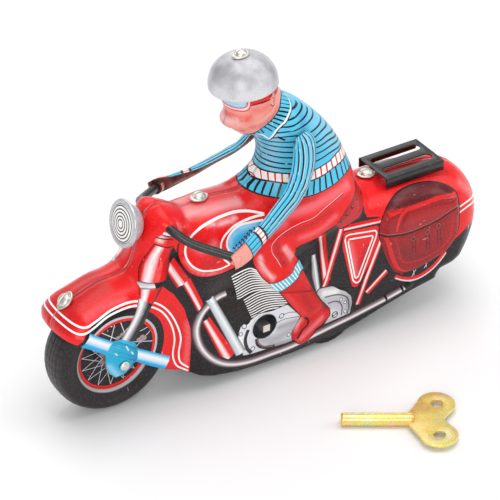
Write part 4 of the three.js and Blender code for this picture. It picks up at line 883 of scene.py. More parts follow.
def print_rider(art):
    """The rider's jersey, collar, face and goggles."""
    body = np.vstack([smooth_line(HEM, 1.0), [(112, 90), (92, 112), (76, 118), (56, 106), (52, 98),
        (56, 84)]])
    art.area(body, airbrushed(SKY, ([(66, 100), (66.5, 90), (66.5, 82)], 1.6, PALE_SKY, 0.5),
        ([(82, 102), (88, 93), (93, 84)], 3.2, PALE_SKY, 0.35), ([(76, 104), (75.6, 90), (76, 78)], 2.0,
        rgb(40, 130, 190), 0.5)))
    for points in STRIPES:
        art.curve(points, 0.31, INK)
    band = np.vstack([smooth_line(BAND_TOP, 1.0), smooth_line(BAND_LOW, 1.0)[::-1]])
    art.area(band, flat(WHITE))
    top, low, hem = (smooth_line(line, 0.5) for line in (BAND_TOP, BAND_LOW, HEM))

    def along_tin(line, share):
        """A place part of the way along a line on the tin, and how much the side view narrows it."""
        flat_step = np.sqrt((np.diff(line, axis=0) ** 2).sum(1))
        length = np.hypot(flat_step, np.diff(face_height(line[:, 0], line[:, 1])))
        run = np.r_[0, np.cumsum(length)]
        at = np.interp(share * run[-1], run, np.arange(len(line)))
        point = np.array([np.interp(at, np.arange(len(line)), line[:, k]) for k in (0, 1)])
        return point, flat_step[int(at)] / length[int(at)]

    def bars(a, b, count, half, colour):
        for share in np.arange(1, count) / count:
            (p, narrow_p), (q, narrow_q) = along_tin(a, share), along_tin(b, share)
            p = p * 0.7 + a[np.argmin(((a - q) ** 2).sum(1))] * 0.3
            art.stroke([p * 0.94 + q * 0.06, p * 0.06 + q * 0.94], half
                * max(0.15, min(narrow_p, narrow_q)), colour)

    bars(top, low, 22, 0.34, RED)
    bars(low, hem, 24, 0.36, INK)
    for line in (BAND_TOP, BAND_LOW, HEM):
        art.curve(line, 0.26, INK)
    jaw = [(72.4, 114.6), (69.6, 112.1), (68.4, 110), (66.3, 108), (64.1, 105.6), (61.2, 103.4),
        (58, 101.6), (54.6, 99.6)]
    edge = [(76, 112.6), (73.6, 110), (70.8, 107.8), (68.5, 105.4), (66.1, 102.4), (64.4, 97.4)]
    throat = [(64.4, 97.4), (62.4, 99), (59.6, 99.8), (56, 97.6)]
    collar = np.vstack([smooth_line(edge, 1.0), smooth_line(throat, 1.0)[1:], smooth_line(jaw, 1.0)[::-1]])
    art.area(collar, flat(SKY))
    outer_rim, inner_rim = smooth_line(edge[:-1] + throat[1:], 0.4), smooth_line(jaw, 0.4)
    bars(outer_rim, inner_rim, 20, 0.32, INK)
    art.curve(edge, 0.26, WHITE)
    art.stroke(smooth_line(edge) + np.array([0.32, -0.22]), 0.14, INK)
    art.curve(throat, 0.3, WHITE)
    head = np.vstack([smooth_line(jaw, 1.0), [(40, 104), (40, 130), (80, 130), (78, 117)]])
    art.area(head, airbrushed(SKIN, ([(49.8, 109.6), (52, 108.6), (56, 109)], 1.3, rgb(230, 60, 54), 0.85),
        ([(57.4, 112), (60.4, 111.6), (63.4, 112.6)], 1.5, BLUSH, 0.6), ([(56, 105.6), (62, 106),
        (67, 110.6)], 0.9, rgb(214, 110, 104), 0.8), ([(49.6, 107), (52, 108)], 0.9, PALE_PINK, 0.8)))
    art.curve(jaw, 0.28, INK)
    art.curve([(50.6, 103.2), (52.6, 103.4), (55, 103.1)], 0.2, rgb(196, 84, 80), 0.7)
    art.shape([(55.6, 117.4), (66.6, 117.6), (74, 119), (74, 116.6), (63.6, 114.6), (55.6, 114.3)],
        flat(RED))
    art.stroke([(55.6, 117.5), (72, 118.4)], 0.2, INK)
    art.stroke([(55.6, 114.3), (63.6, 114.8), (72, 116.4)], 0.2, INK)
    frame_edge = [(46, 122), (46, 114.8), (50.2, 112.3), (53.8, 112), (55.6, 112.5), (56.2, 114.5), (56, 122)]
    glass = [(46, 122), (46, 116.2), (49.8, 113.8), (52, 113.4), (54.2, 113.6), (55, 114.5), (54.9, 122)]
    art.shape(frame_edge, flat(PALE_PINK))
    art.rim(frame_edge, 0.24, rgb(206, 60, 66))
    art.shape(glass, airbrushed(PALE_SKY, ([(48, 118.6), (53, 116.4)], 1.0, WHITE, 0.5)))
    art.rim(glass, 0.24, rgb(206, 60, 66))
    ear = [(64.2, 115.7), (65.6, 117.2), (66.8, 116.4), (66.5, 114.4), (64.9, 112.2), (63.9, 113.2)]
    art.shape(ear, flat(SKIN))
    art.curve(ear, 0.22, rgb(170, 60, 56), 0.7)
    art.curve([(65, 115.6), (65.8, 114.8), (65.1, 113.6)], 0.2, rgb(190, 80, 74), 0.5)
    art.shape([(66.4, 99.5), (69.3, 97.7), (68.9, 96.9), (66.2, 98.6)], flat(INK))


def side_art():
    """All the art of one side, laid down from back to front."""
    art = Print()
    art.area(OUTLINE + (OUTLINE - OUTLINE.mean(0)) * 0.02, flat(RED))
    for lay in (print_engine, print_tank, print_fender, print_fork, print_behind_leg, print_rear, print_leg,
            print_bag, print_rider):
        lay(art)
    return art


HOLES = [(AXLE[0], AXLE[1], 1.3), (ARBOR[0], ARBOR[1], 5.4)]


def side_sheet():
    """The printed sheet of one side: corners, triangles and their colours, flat in the side view."""
    rows = seam_rows() + [circle(x, z, r, 0.8) for x, z, r in HOLES]
    V, F, colour = printed_mesh(OUTLINE, rows, side_art(), 1.3)
    y = SEAM_GAP + np.maximum(face_height(V[:, 0], V[:, 1]), 0.1)
    return V, y, F, colour


def thickened(obj, lining):
    """Gives a sheet its thickness, with its own metal inside and at the cut edges."""
    obj.data.materials.append(lining)
    wall = obj.modifiers.new("sheet", "SOLIDIFY")
    wall.thickness = SHEET * MM
    wall.offset = -1
    wall.material_offset = wall.material_offset_rim = 1
    return obj


def half_shell(name, sheet, side, holes):
    """One half of the body: the printed sheet on its own side, with its holes, given its thickness."""
    V, y, F, colour = sheet
    middle = V[F].mean(1)
    keep = np.ones(len(F), bool)
    for x, z, r in holes:
        keep &= np.hypot(middle[:, 0] - x, middle[:, 1] - z) > r
    F, colour = F[keep], colour[keep]
    if side > 0:
        F, colour = F[:, ::-1], colour[:, ::-1]
    verts = np.stack([V[:, 0] * MM + ZERO.x, side * y * MM + ZERO.y, V[:, 1] * MM], 1)
    shell = mesh_object(name, verts, F, colour)
    shell.data.materials.append(PRINTED)
    return thickened(shell, BARE_TIN)


sheet = side_sheet()
left_shell = half_shell("left_half_shell_printed", sheet, -1, HOLES)
right_shell = half_shell("right_half_shell_printed", sheet, 1, HOLES[:1])
for shell, node in ((left_shell, "left_half_shell"), (right_shell, "right_half_shell")):
    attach(shell, "chassis")
    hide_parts(node)


# ---------------------------------------------------------------- forms for the fittings

class Form:
    """Corners, faces and corner colours gathered from simple surfaces, in drawing millimetres."""

    def __init__(self):
        self.verts, self.faces, self.colours = [], [], []

    def grid(self, P, paint, wrap=False, flip=False):
        """A net of corners P[row][column]; paint gives a colour for each corner, as an array like P."""
        rows, columns = P.shape[:2]
        colour = np.broadcast_to(np.asarray(paint, float), P.shape)
        first = len(self.verts)
        self.verts += P.reshape(-1, 3).tolist()
        for i in range(rows - 1):
            for j in range(columns if wrap else columns - 1):
                k = (j + 1) % columns
                corners = [(i, j), (i, k), (i + 1, k), (i + 1, j)]
                if flip:
                    corners.reverse()
                self.faces.append([first + a * columns + b for a, b in corners])
                self.colours += [colour[a, b] for a, b in corners]

    def turned(self, profile, place, segments=64, paint=WHITE, flip=False):
        """A profile of (radius, height) turned round the local Z axis of place."""
        profile = np.array(profile, float)
        a = round_angles(segments)
        local = np.stack([profile[:, :1] * np.cos(a), profile[:, :1] * np.sin(a),
            np.repeat(profile[:, 1:], segments, 1)], 2)
        if np.ndim(paint) == 2:
            paint = np.repeat(np.asarray(paint)[:, None], segments, 1)
        self.grid(laid(local, place), paint, wrap=True, flip=flip)

    def tube(self, line, radius, segments):
        """A round bar along a line of places."""
        line = np.array(line, float)
        ahead = unit(np.gradient(line, axis=0))
        side = unit(np.cross(ahead, (0.13, 0.05, 1.0)))
        up = np.cross(side, ahead)
        radius = np.broadcast_to(radius, len(line))[:, None, None]
        a = round_angles(segments)[None, :, None]
        P = line[:, None] + radius * (np.cos(a) * side[:, None] + np.sin(a) * up[:, None])
        self.grid(P, WHITE, wrap=True, flip=True)

    def plate(self, outline, holes, low, high, place, edge):
        """A flat plate with softened edges: outline and holes in local x and y, from low to high."""
        rounds = 3
        loops = [np.array(outline, float)] + [np.array(h, float) for h in holes]
        area = [0.5 * np.sum(l[:, 0] * np.roll(l[:, 1], -1) - np.roll(l[:, 0], -1) * l[:, 1]) for l in loops]
        loops = [l if (a > 0) == (i == 0) else l[::-1] for i, (l, a) in enumerate(zip(loops, area))]
        rims = []
        for loop in loops:
            step = unit(np.roll(loop, -1, 0) - np.roll(loop, 1, 0))
            inward = np.stack([-step[:, 1], step[:, 0]], 1)
            layers = []
            for end, sign in ((low, -1), (high, 1)):
                turn = np.linspace(0, math.pi / 2, rounds + 1)
                turn = turn[::-1] if sign < 0 else turn
                for t in turn:
                    flat_loop = loop + inward * edge * (1 - math.cos(t))
                    height = end - sign * edge * (1 - math.sin(t))
                    layers.append(np.column_stack([flat_loop, np.full(len(loop), height)]))
            P = np.array(layers)
            self.grid(laid(P, place), WHITE, wrap=True)
            rims.append((layers[0], layers[-1]))
        for k in (0, 1):
            flat_points = [Vector(p[:2]) for rim in rims for p in rim[k].tolist()]
            edges, first = [], 0
            for rim in rims:
                n = len(rim[k])
                edges += [(first + i, first + (i + 1) % n) for i in range(n)]
                first += n
            verts, _, faces, _, _, _ = delaunay_2d_cdt(flat_points, edges, [], 0, 1e-5)
            V = np.array([(v.x, v.y) for v in verts])
            height = rims[0][k][0][2]
            start = len(self.verts)
            self.verts += laid(np.column_stack([V, np.full(len(V), height)]), place).tolist()
            for face in faces:
                mid = V[list(face)].mean(0)
                rim_loops = [rim[k][:, :2] for rim in rims]
                point = (np.array([mid[0]]), np.array([mid[1]]))
                if inside(rim_loops[0], *point)[0] and not any(inside(h, *point)[0] for h in rim_loops[1:]):
                    corners = [start + i for i in (face if k else face[::-1])]
                    self.faces.append(corners)
                    self.colours += [WHITE] * len(corners)

    def object(self, name, material, weld=True):
        verts = np.array(self.verts) * MM + np.array([ZERO.x, ZERO.y, 0])
        obj = mesh_object(name, verts, self.faces, self.colours)
        obj.data.materials.append(material)
        if weld:
            joined = obj.modifiers.new("weld", "WELD")
            joined.merge_threshold = 2e-6
        return obj


def laid(points, place):
    """Local points put through a 4 by 4 place."""
    place = np.array(place)
    return points @ place[:3, :3].T + place[:3, 3]


def facing(x, y, z, axis, across=(0, 1, 0)):
    """A place whose Z axis points along axis and whose Y axis lies near across."""
    up = Vector(axis).normalized()
    side = Vector(across).cross(up).normalized()
    over = up.cross(side)
    return Matrix(((side.x, over.x, up.x, x), (side.y, over.y, up.y, y), (side.z, over.z, up.z, z),
        (0, 0, 0, 1)))


def tilted(x, z, turn):
    """A place turned about the Y axis, as the parts on the centre plane are."""
    return Matrix.Translation((x, 0, z)) @ Matrix.Rotation(turn, 4, "Y")


def finished(obj, body, slot, *nodes):
    """Fastens a finished piece to its body, in place of its CAD nodes; its slot argument is not used."""
    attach(obj, body)
    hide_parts(*nodes)


WHEEL_TIN = printed("wheel_tin", gloss=0.34)
SLEEVE = printed("sleeve_tin", gloss=0.28)
SLEEVE_INSIDE = metal("sleeve_inside_tin", rgb(190, 150, 132), rgb(110, 70, 62), 0.38)
NICKEL = metal("nickel", rgb(240, 238, 230), rgb(206, 203, 194), 0.34, scale=120, bump=0.00002)
STEEL = metal("stamped_steel", rgb(168, 170, 174), rgb(112, 113, 118), 0.34)
BRASS = metal("stamped_brass", rgb(206, 170, 92), rgb(150, 112, 52), 0.3)
SPRING = metal("blued_spring", rgb(70, 84, 116), rgb(34, 38, 54), 0.28)


# ---------------------------------------------------------------- front wheel

WHEEL_FACE = [(0, 6.2), (4.4, 6.2), (4.9, 5.8), (5.4, 4.9), (14.6, 4.9), (15, 5.5), (15.4, 6.1),
    (16.9, 6.5), (17.6, 7.0), (18.6, 7.4), (19.8, 7.55), (20.8, 7.5)]
TYRE_ROUND = [(20.8, 7.5), (21.8, 7.1), (22.8, 6.2), (23.5, 5.0), (23.9, 3.8), (24.15, 2.6), (24.2, 1.6),
    (24.2, 0.12)]


def wheel_art():
    """The printed face of a front wheel half."""
    art = Print()
    # The dark tyre face carries a lighter patch near its bottom: a painted highlight, not print.
    art.area(circle(0, 0, 20.8, 1.0), airbrushed(rgb(34, 31, 33), ([(0, -18), (0, -18.2)], 5,
        rgb(52, 48, 50), 0.7)))
    for radius, colour in ((16.0, rgb(130, 128, 132)), (15.7, GREY), (14.9, rgb(224, 20, 16)),
            (13.7, rgb(24, 20, 23))):
        art.disc(colour, 0, 0, radius, 0.9)
    for angle in range(0, 360, 24):
        for lean in (-38, 38):
            a, b = math.radians(angle), math.radians(angle + lean)
            art.stroke([(4.6 * math.cos(b), 4.6 * math.sin(b)), (13.4 * math.cos(a), 13.4 * math.sin(a))],
                0.1, PALE_GREY)
    art.disc(rgb(120, 96, 98), 0, 0, 4.9, 0.8)
    for angle in range(0, 360, 40):
        a = math.radians(angle)
        art.disc(rgb(150, 122, 122), 5.4 * math.cos(a), 5.4 * math.sin(a), 0.9, 0.7)
    art.disc(rgb(150, 128, 130), 0, 0, 3.4, 0.8)
    return art


def wheel_half(name, side):
    """One pressed half of the front wheel, with a ribbed tyre."""
    edge = circle(0, 0, 20.8, 0.9)
    rows = [circle(0, 0, r, 0.9) for r in (4.4, 4.9, 5.4, 14.6, 15.4, 18.6, 19.8)]
    V, F, colour = printed_mesh(edge, rows, wheel_art(), 1.1)
    radius = np.hypot(V[:, 0], V[:, 1])
    y = np.interp(radius, *np.array(WHEEL_FACE).T)
    form = Form()
    form.verts = np.stack([V[:, 0] + AXLE[0], side * y, V[:, 1] + AXLE[1]], 1).tolist()
    form.faces = [list(f) if side < 0 else list(f[::-1]) for f in F]
    form.colours = list((colour if side < 0 else colour[:, ::-1]).reshape(-1, 3))
    profile = smooth_line(TYRE_ROUND, 0.35)
    a = round_angles(288)
    r, h = profile[:, :1], profile[:, 1:]
    groove = np.exp(-((h - 2.2) / 0.22) ** 2) + np.exp(-((h - 4.4) / 0.22) ** 2)
    blocks = smoothstep((np.abs(((a * 48 / math.pi) % 2) - 1) - 0.2) / 0.2)[None] * smoothstep((r - 22.4)
        / 0.7)
    depth = 0.22 * groove + 0.12 * (1 - blocks) * smoothstep((r - 22.4) / 0.7)
    R = r - depth
    P = np.stack([AXLE[0] + R * np.cos(a), side * np.broadcast_to(h, R.shape), AXLE[1] + R * np.sin(a)], 2)
    # The tyre is lighter on its raised tread blocks and darker in its grooves, between the blocks and on its
    # side: painted highlight and painted shade.
    tone = (0.55 + 0.45 * blocks * (1 - 0.6 * groove))[..., None]
    form.grid(P, rgb(44, 40, 42) * tone, wrap=True, flip=side > 0)
    obj = form.object(name, WHEEL_TIN)
    finished(obj, "front_wheel", "wheel_tin", "front_wheel_left_half" if side < 0
        else "front_wheel_right_half")


wheel_half("front_wheel_left_printed", -1)
wheel_half("front_wheel_right_printed", 1)

rivet = Form()
for side in (-1, 1):
    head = [(0, 1.2), (0.6, 1.17), (1.1, 1.06), (1.6, 0.8), (1.95, 0.4), (2.1, 0), (1.1, 0), (1.1, -14)]
    face = TIP_HALF + BOSS_RISE + SHEET
    rivet.turned(head, facing(AXLE[0], side * face, AXLE[1], (0, side, 0), (0, 0, 1)), 48, flip=True)
finished(rivet.object("front_axle_rivet_domed", NICKEL), "chassis", "nickel", "front_axle_rivet")


# ---------------------------------------------------------------- rider's arms and hands

ARM = [(73.8, 14.9, 100.2, 2.6, 0.6), (74.6, 16.6, 97.6, 4.4, 1.6), (74.6, 18.2, 91.5, 5, 2.6),
    (72.4, 20, 84.6, 5, 3), (67.6, 22.4, 79.2, 4.8, 3), (60, 24.8, 75.2, 4.3, 2.8),
    (52.4, 27, 71.6, 3.9, 2.6), (46.6, 28.8, 69.4, 3.9, 2.4), (41.6, 30.2, 67.4, 4, 1.9),
    (37.4, 30.7, 66.4, 3.8, 1.4), (34.9, 30.7, 65.7, 3.3, 1.1)]
BAR_ROUTE = [(36.6, 28.2, 66.6), (24.4, 17.6, 71.4), (21.2, 13.4, 73.8), (19.8, 10, 75.2), (19.4, 5, 75.6)]
BAR_RADIUS = 1.7


def sleeve_paint(s, t):
    """Colour along (s, 0 at the shoulder) and across (t, -1 to 1) an arm."""
    colour = np.empty(s.shape + (3,))
    colour[:] = SKY
    glow = np.exp(-((t + 0.25) / 0.3) ** 2)[..., None] * 0.45
    colour = colour * (1 - glow) + PALE_SKY * glow
    sway = t + 0.025 * np.sin(s * 9)
    across = np.abs(((sway + 1) * 3.6) % 1 - 0.5)
    colour[across < 0.15] = INK
    thin = np.abs(((sway + 1) * 3.6 + 0.24) % 1 - 0.5) < 0.04
    colour[thin] = PALE_SKY * 0.4 + WHITE * 0.6
    for start, end, ground, ink, width in ((0.72, 0.77, WHITE, RED, 0.13), (0.77, 0.86, SKY, INK, 0.11)):
        m = (s > start) & (s <= end)
        colour[m] = ground
        colour[m & (np.abs(((t + 1) * 3.1) % 1 - 0.5) < width)] = ink
    for place in (0.72, 0.77, 0.86):
        colour[np.abs(s - place) < 0.005] = INK
    hand = s > 0.863
    colour[hand] = SKIN
    shade = hand & (np.abs(t) > 0.75)
    colour[shade] = rgb(222, 120, 108)
    return colour


def arm(name, side):
    """One arm: a channel of printed tin that runs from the shoulder to the hand."""
    stations = smooth_line(ARM, 0.45)
    run = np.r_[0, np.cumsum(np.linalg.norm(np.diff(stations[:, :3], axis=0), axis=1))]
    run /= run[-1]
    place = stations[:, :3] * np.array([1, side, 1])
    ahead = unit(np.gradient(place, axis=0))
    across = unit(np.cross(ahead, (0, side, 0)))
    out = np.cross(across, ahead)
    if side > 0:
        roll = 0.75 * np.sin(math.pi * run)[:, None]
        upward = across * np.sign(across[:, 2:3])
        out, across = out * np.cos(roll) + upward * np.sin(roll), \
            (upward * np.cos(roll) - out * np.sin(roll)) * np.sign(across[:, 2:3])
    a = np.linspace(-math.pi / 2, math.pi / 2, 61)
    s, t = np.meshgrid(run, a / (math.pi / 2), indexing="ij")
    half, depth = stations[:, 3:4], stations[:, 4:5]
    folds = 0.28 * np.sin(s * 46 + t * 2.4) * np.exp(-((s - 0.36) / 0.13) ** 2) * np.exp(-((t + 0.5)
        / 0.7) ** 2)
    folds -= 0.35 * np.exp(-((s - 0.72) / 0.008) ** 2) + 0.35 * np.exp(-((s - 0.86) / 0.008) ** 2)
    knuckles = 0.3 * np.abs(np.sin((t + 1) * math.pi * 1.0)) * smoothstep((s - 0.9) / 0.03)
    lift = (depth + (folds + knuckles) * np.cos(a)) * np.cos(a) - depth
    P = place[:, None] + across[:, None] * (half * np.sin(a))[..., None] + out[:, None] * lift[..., None]
    form = Form()
    form.grid(P, sleeve_paint(s, t))
    hook = hand_hook(side)
    form.grid(hook, SKIN, flip=side > 0)
    obj = form.object(name, SLEEVE, weld=False)
    return thickened(obj, SLEEVE_INSIDE)


def hand_hook(side):
    """The curl of sheet round the end of the bar."""
    start, end = (np.array(p) * (1, side, 1) for p in BAR_ROUTE[:2])
    ahead = (end - start) / np.linalg.norm(end - start)
    start = start - ahead * 2.4
    over = np.cross(ahead, (0, 1, 0))
    over /= np.linalg.norm(over)
    other = -side * np.cross(ahead, over)
    a = np.linspace(-2.6, 2.2, 40)[None, :, None]
    along = np.linspace(0, 3, 8)[:, None, None]
    radius = BAR_RADIUS + 0.9
    return start + ahead * along + radius * (np.cos(a) * over + np.sin(a) * other)


finished(arm("rider_left_arm_printed", -1), "chassis", "sleeve_tin", "rider_left_arm")
finished(arm("rider_right_arm_printed", 1), "chassis", "sleeve_tin", "rider_right_arm")


# ---------------------------------------------------------------- helmet

def helmet_material():
    """Sprayed silver with fine grain and darker clouds."""
    s = Surface("helmet_tin")
    grain = s.steps(s.noise(2600, 3, 0.8), 0.35, 0.68)
    cloud = s.steps(s.noise(62, 3, 0.5), 0.40, 0.66)
    silver = s.mix(cloud, rgb(226, 226, 230), rgb(126, 125, 131))
    s.set(Base_Color=s.mix(s.both(grain, 0.4), silver, rgb(140, 139, 146)), Metallic=0.25,
        Roughness=s.steps(s.noise(300, 4), 0.3, 0.7, 0.36, 0.5), Coat_Weight=0.2, Coat_Roughness=0.25)
    s.bump(s.noise(1900, 3, 0.7), 0.00003, 0.5)
    return s.material


HELMET_TIN = helmet_material()
helmet_place = tilted(57.9, 120.3, -0.09)
swell = np.linspace(0, math.pi / 2, 40)
outer = [(13 * math.sin(a) ** 0.9, 11.1 * math.cos(a)) for a in swell[1:]]
inner = [(12.5 * math.sin(a) ** 0.9, 10.55 * math.cos(a)) for a in swell[1:]]
bowl = [(0.001, 11.1)] + outer + [(13.05, -0.4), (13.0, -0.85), (12.85, -0.95), (12.5, -0.85)]
bowl += inner[::-1] + [(0.001, 10.55)]
helmet = Form()
helmet.turned(bowl, helmet_place, 96, flip=True)
finished(helmet.object("helmet_sprayed", HELMET_TIN), "chassis", "helmet_tin", "helmet_dome")


# ---------------------------------------------------------------- headlamp

def lamp_material():
    """Silver with a fine hammered speck."""
    s = Surface("lamp_tin")
    speck = s.steps(s.noise(2300, 2, 0.7), 0.52, 0.66)
    s.set(Base_Color=s.mix(speck, rgb(200, 200, 204), rgb(150, 150, 156)), Metallic=0.45, Roughness=0.34,
        Coat_Weight=0.25, Coat_Roughness=0.2)
    s.bump(s.noise(1500, 3, 0.7), 0.00003, 0.6)
    return s.material


LAMP_TIN = lamp_material()
LENS = printed("lens_tin", gloss=0.22)
lamp_place = tilted(5.2, 76.6, -math.pi / 2 + 0.22)
cup = smooth_line([(0.01, -7.9), (1.8, -7.88), (3.4, -7.6), (5.8, -6.4), (7.2, -4.3), (8, -2.3),
    (8.4, -1.95), (9.0, -1.9)], 0.4)
bezel = smooth_line([(9.0, -1.9), (9.25, -1.6), (9.2, -1.1), (8.95, -0.7), (8.4, -0.55), (7.8, -0.6),
    (7.4, -0.75), (7.25, -1.1)], 0.2)
lamp = Form()
lamp.turned(np.vstack([cup, bezel[1:]]), lamp_place, 96)
lamp.turned([(7.25, -1.1), (7.0, -1.9), (6.6, -4.1), (5.3, -5.9), (3.1, -7.0), (0.01, -7.3)], lamp_place, 96)
finished(lamp.object("headlamp_cup_pressed", LAMP_TIN), "chassis", "lamp_tin", "headlamp_cup")
lens_line = smooth_line([(0.01, 0), (2.4, -0.06), (4.8, -0.25), (6.4, -0.5), (7.15, -0.7), (7.15, -1.0)],
    0.07)
ring_places = np.array([6.75, 5.5, 4.2, 2.9, 1.65])
rings = np.where(np.abs(lens_line[:, :1] - ring_places).min(1, keepdims=True) < 0.24, INK, WHITE)
lens = Form()
lens.turned(lens_line, lamp_place, 96, rings, flip=True)
finished(lens.object("headlamp_lens_ringed", LENS), "chassis", "lens_tin", "headlamp_lens")


# ---------------------------------------------------------------- seam clips

def seam_clip(name, node, x, z, turn, r):
    """A pressed clip: an oval base with two ears, and a round dome split by a slot."""
    place = tilted(x, z, turn)
    form = Form()
    a = round_angles(72)
    reach = 0.98 * r * (1 + 0.30 * np.abs(np.cos(a)) ** 5)
    rings = []
    for share, height in ((1.0, -0.25), (1.0, 0.1), (0.97, 0.28), (0.9, 0.36), (0.6, 0.4), (0.001, 0.4)):
        rings.append(np.stack([share * reach * np.cos(a), share * reach * np.sin(a), np.full(72, height)], 1))
    form.grid(laid(np.array(rings), place), WHITE, wrap=True)
    dome_r, rise = 0.9 * r, 0.56 * r
    u = np.linspace(-1, 1, 91)
    gx, gy = np.meshgrid(u * dome_r, u * dome_r, indexing="ij")
    rho = np.hypot(gx, gy) / dome_r
    scale = np.where(rho > 1, 1 / np.maximum(rho, 1e-6), 1)
    gx, gy = gx * scale, gy * scale
    rho = np.minimum(rho, 1)
    gz = 0.3 + rise * np.sqrt(np.clip(1 - rho**2.6, 0, 1))
    slot = (1 - smoothstep((np.abs(gy) - 0.3) / 0.08)) * smoothstep((0.99 - rho) / 0.04)
    gz = gz - 0.9 * slot
    form.grid(laid(np.stack([gx, gy, gz], 2), place), WHITE)
    finished(form.object(name, NICKEL), "chassis", "nickel", node)


seam_clip("fender_clip_slotted", "fender_clip", -18.9, 51.6, -0.72, 3.1)
seam_clip("tank_clip_slotted", "tank_clip", 38.7, 76.9, 0.0, 2.9)
seam_clip("seat_clip_slotted", "seat_clip", 113.4, 62.2, 0.06, 3.0)
seam_clip("helmet_clip_slotted", "helmet_clip", 56.9, 131.75, -0.09, 2.7)


# ---------------------------------------------------------------- handlebar and luggage rack

def enamel():
    """Black enamel, rubbed thin in spots."""
    s = Surface("black_enamel")
    worn = s.steps(s.noise(420, 5, 0.75), 0.6, 0.68)
    tone = s.mix(s.steps(s.noise(190, 4), 0.35, 0.7), rgb(24, 23, 25), rgb(40, 38, 38))
    s.set(Base_Color=s.mix(s.both(worn, 0.5), tone, rgb(122, 112, 98)), Metallic=0.15,
        Roughness=s.steps(s.noise(420, 4), 0.3, 0.7, 0.3, 0.46), Coat_Weight=0.25, Coat_Roughness=0.2)
    s.bump(s.noise(700, 4, 0.7), 0.00004, 0.6)
    return s.material


ENAMEL = enamel()
half_route = smooth_line(BAR_ROUTE, 0.8)
route = np.vstack([half_route * (1, -1, 1), (half_route[::-1])])
bar_form = Form()
bar_form.tube(smooth_line(route.tolist(), 0.8), BAR_RADIUS, 32)
for end, ahead in ((route[0], route[0] - route[1]), (route[-1], route[-1] - route[-2])):
    cap = [(BAR_RADIUS, 0), (BAR_RADIUS - 0.1, 0.12), (1.35, 0.15), (1.25, 0.05), (1.25, -2.4), (0.01, -2.4)]
    bar_form.turned(cap, facing(*end, ahead), 32, flip=False)
finished(bar_form.object("handlebar_tube", ENAMEL), "chassis", "black_enamel", "handlebar")

RACK_X0, RACK_X1, RACK_HALF, RACK_Z, RACK_DROP = 116.5, 143.2, 9.6, 63.6, 4.4


def rack_slot(y):
    """The outline of one long slot with round ends."""
    ends = [(RACK_X1 - 4.2, 0), (RACK_X0 + 4.2, math.pi)]
    return [(x + 2.1 * math.cos(t), y + 2.1 * math.sin(t)) for x, turn in ends
        for t in np.linspace(turn - math.pi / 2, turn + math.pi / 2, 13)]


rack = Form()
flat_edge = RACK_HALF - 0.9
top = rounded([(RACK_X0, -flat_edge), (RACK_X1, -flat_edge), (RACK_X1, flat_edge), (RACK_X0, flat_edge)], 0.5)
rack.plate(straight(top.tolist(), 1.0), [rack_slot(-4.0), rack_slot(4.0)], RACK_Z - 0.6, RACK_Z, Matrix(),
    0.12)
for side in (-1, 1):
    bend = [(RACK_HALF - 0.9, RACK_Z), (RACK_HALF - 0.5, RACK_Z - 0.08), (RACK_HALF - 0.12, RACK_Z - 0.4),
        (RACK_HALF, RACK_Z - 0.9), (RACK_HALF, RACK_Z - RACK_DROP),
        (RACK_HALF - 0.3, RACK_Z - RACK_DROP - 0.0), (RACK_HALF - 0.6, RACK_Z - RACK_DROP),
        (RACK_HALF - 0.6, RACK_Z - 1.0), (RACK_HALF - 0.9, RACK_Z - 0.6)]
    xs = np.array([RACK_X0, RACK_X0 + 0.12, RACK_X1 - 0.12, RACK_X1])
    P = np.array([[(x, side * y, z) for y, z in bend] for x in xs])
    rack.grid(P, WHITE, wrap=True, flip=side > 0)
    for x, flip in ((RACK_X0, side < 0), (RACK_X1, side > 0)):
        rib = np.array([[(x, side * RACK_HALF, RACK_Z - 0.9), (x, side * (RACK_HALF - 0.6), RACK_Z - 0.9)],
            [(x, side * RACK_HALF, RACK_Z - RACK_DROP), (x, side * (RACK_HALF - 0.6), RACK_Z - RACK_DROP)]])
        rack.grid(rib, WHITE, flip=flip)
finished(rack.object("luggage_rack_bent", ENAMEL), "chassis", "black_enamel", "luggage_rack")

tongue = Form()
strip = rounded([(RACK_X0, -1.1), (RACK_X1 + 2.4, -1.1), (RACK_X1 + 2.4, 1.1), (RACK_X0, 1.1)], 0.7)
tongue.plate(strip, [], RACK_Z - 1.55, RACK_Z - 1.05, Matrix(), 0.1)
finished(tongue.object("rack_tongue_strip", NICKEL), "chassis", "nickel", "rack_tongue")


# ---------------------------------------------------------------- winding key

def zinc():
    """Yellow zinc plating with pink and green tints."""
    s = Surface("yellow_zinc")
    gold = s.mix(s.steps(s.noise(85, 3), 0.42, 0.6), rgb(240, 206, 112), rgb(232, 222, 124))
    tinted = s.mix(s.steps(s.noise(140, 4, 0.6, (1, 1.6, 1)), 0.5, 0.7, 0, 0.55), gold, rgb(250, 186, 172))
    green = s.mix(s.steps(s.noise(110, 4, 0.6, (1.3, 1, 1)), 0.52, 0.72, 0, 0.5), tinted, rgb(176, 216, 176))
    s.set(Base_Color=s.mix(s.scratches(), green, rgb(150, 104, 70)), Metallic=0.5,
        Roughness=s.steps(s.noise(500, 4), 0.3, 0.7, 0.2, 0.36))
    s.bump(s.noise(900, 3, 0.6), 0.00003, 0.5)
    return s.material


ZINC = zinc()
key_place = Matrix.Translation((84.6, -73, 0)) @ Matrix.Rotation(-0.56, 4, "Z")


def bow_lobe(y, start, end):
    """The round of one ear of the key, from one angle to another."""
    return [(11 + 7.2 * math.cos(a), y + 7.2 * math.sin(a)) for a in np.radians(np.linspace(start, end, 40))]


bow_edge = rounded([(0, -3.4)] + bow_lobe(-9.4, -170, 48) + [(13.4, 0)] + bow_lobe(9.4, -48, 170)
    + [(0, 3.4)], 0.8)
bow_edge = bow_edge[np.r_[True, np.linalg.norm(np.diff(bow_edge, axis=0), axis=1) > 0.02]]
key = Form()
key.plate(bow_edge, [circle(11.2, y, 2.3, 0.5) for y in (-9.6, 9.6)], 1.9, 2.9, key_place, 0.15)
SHANK_RADIUS, SHANK_BORE = 2.5, 1.95


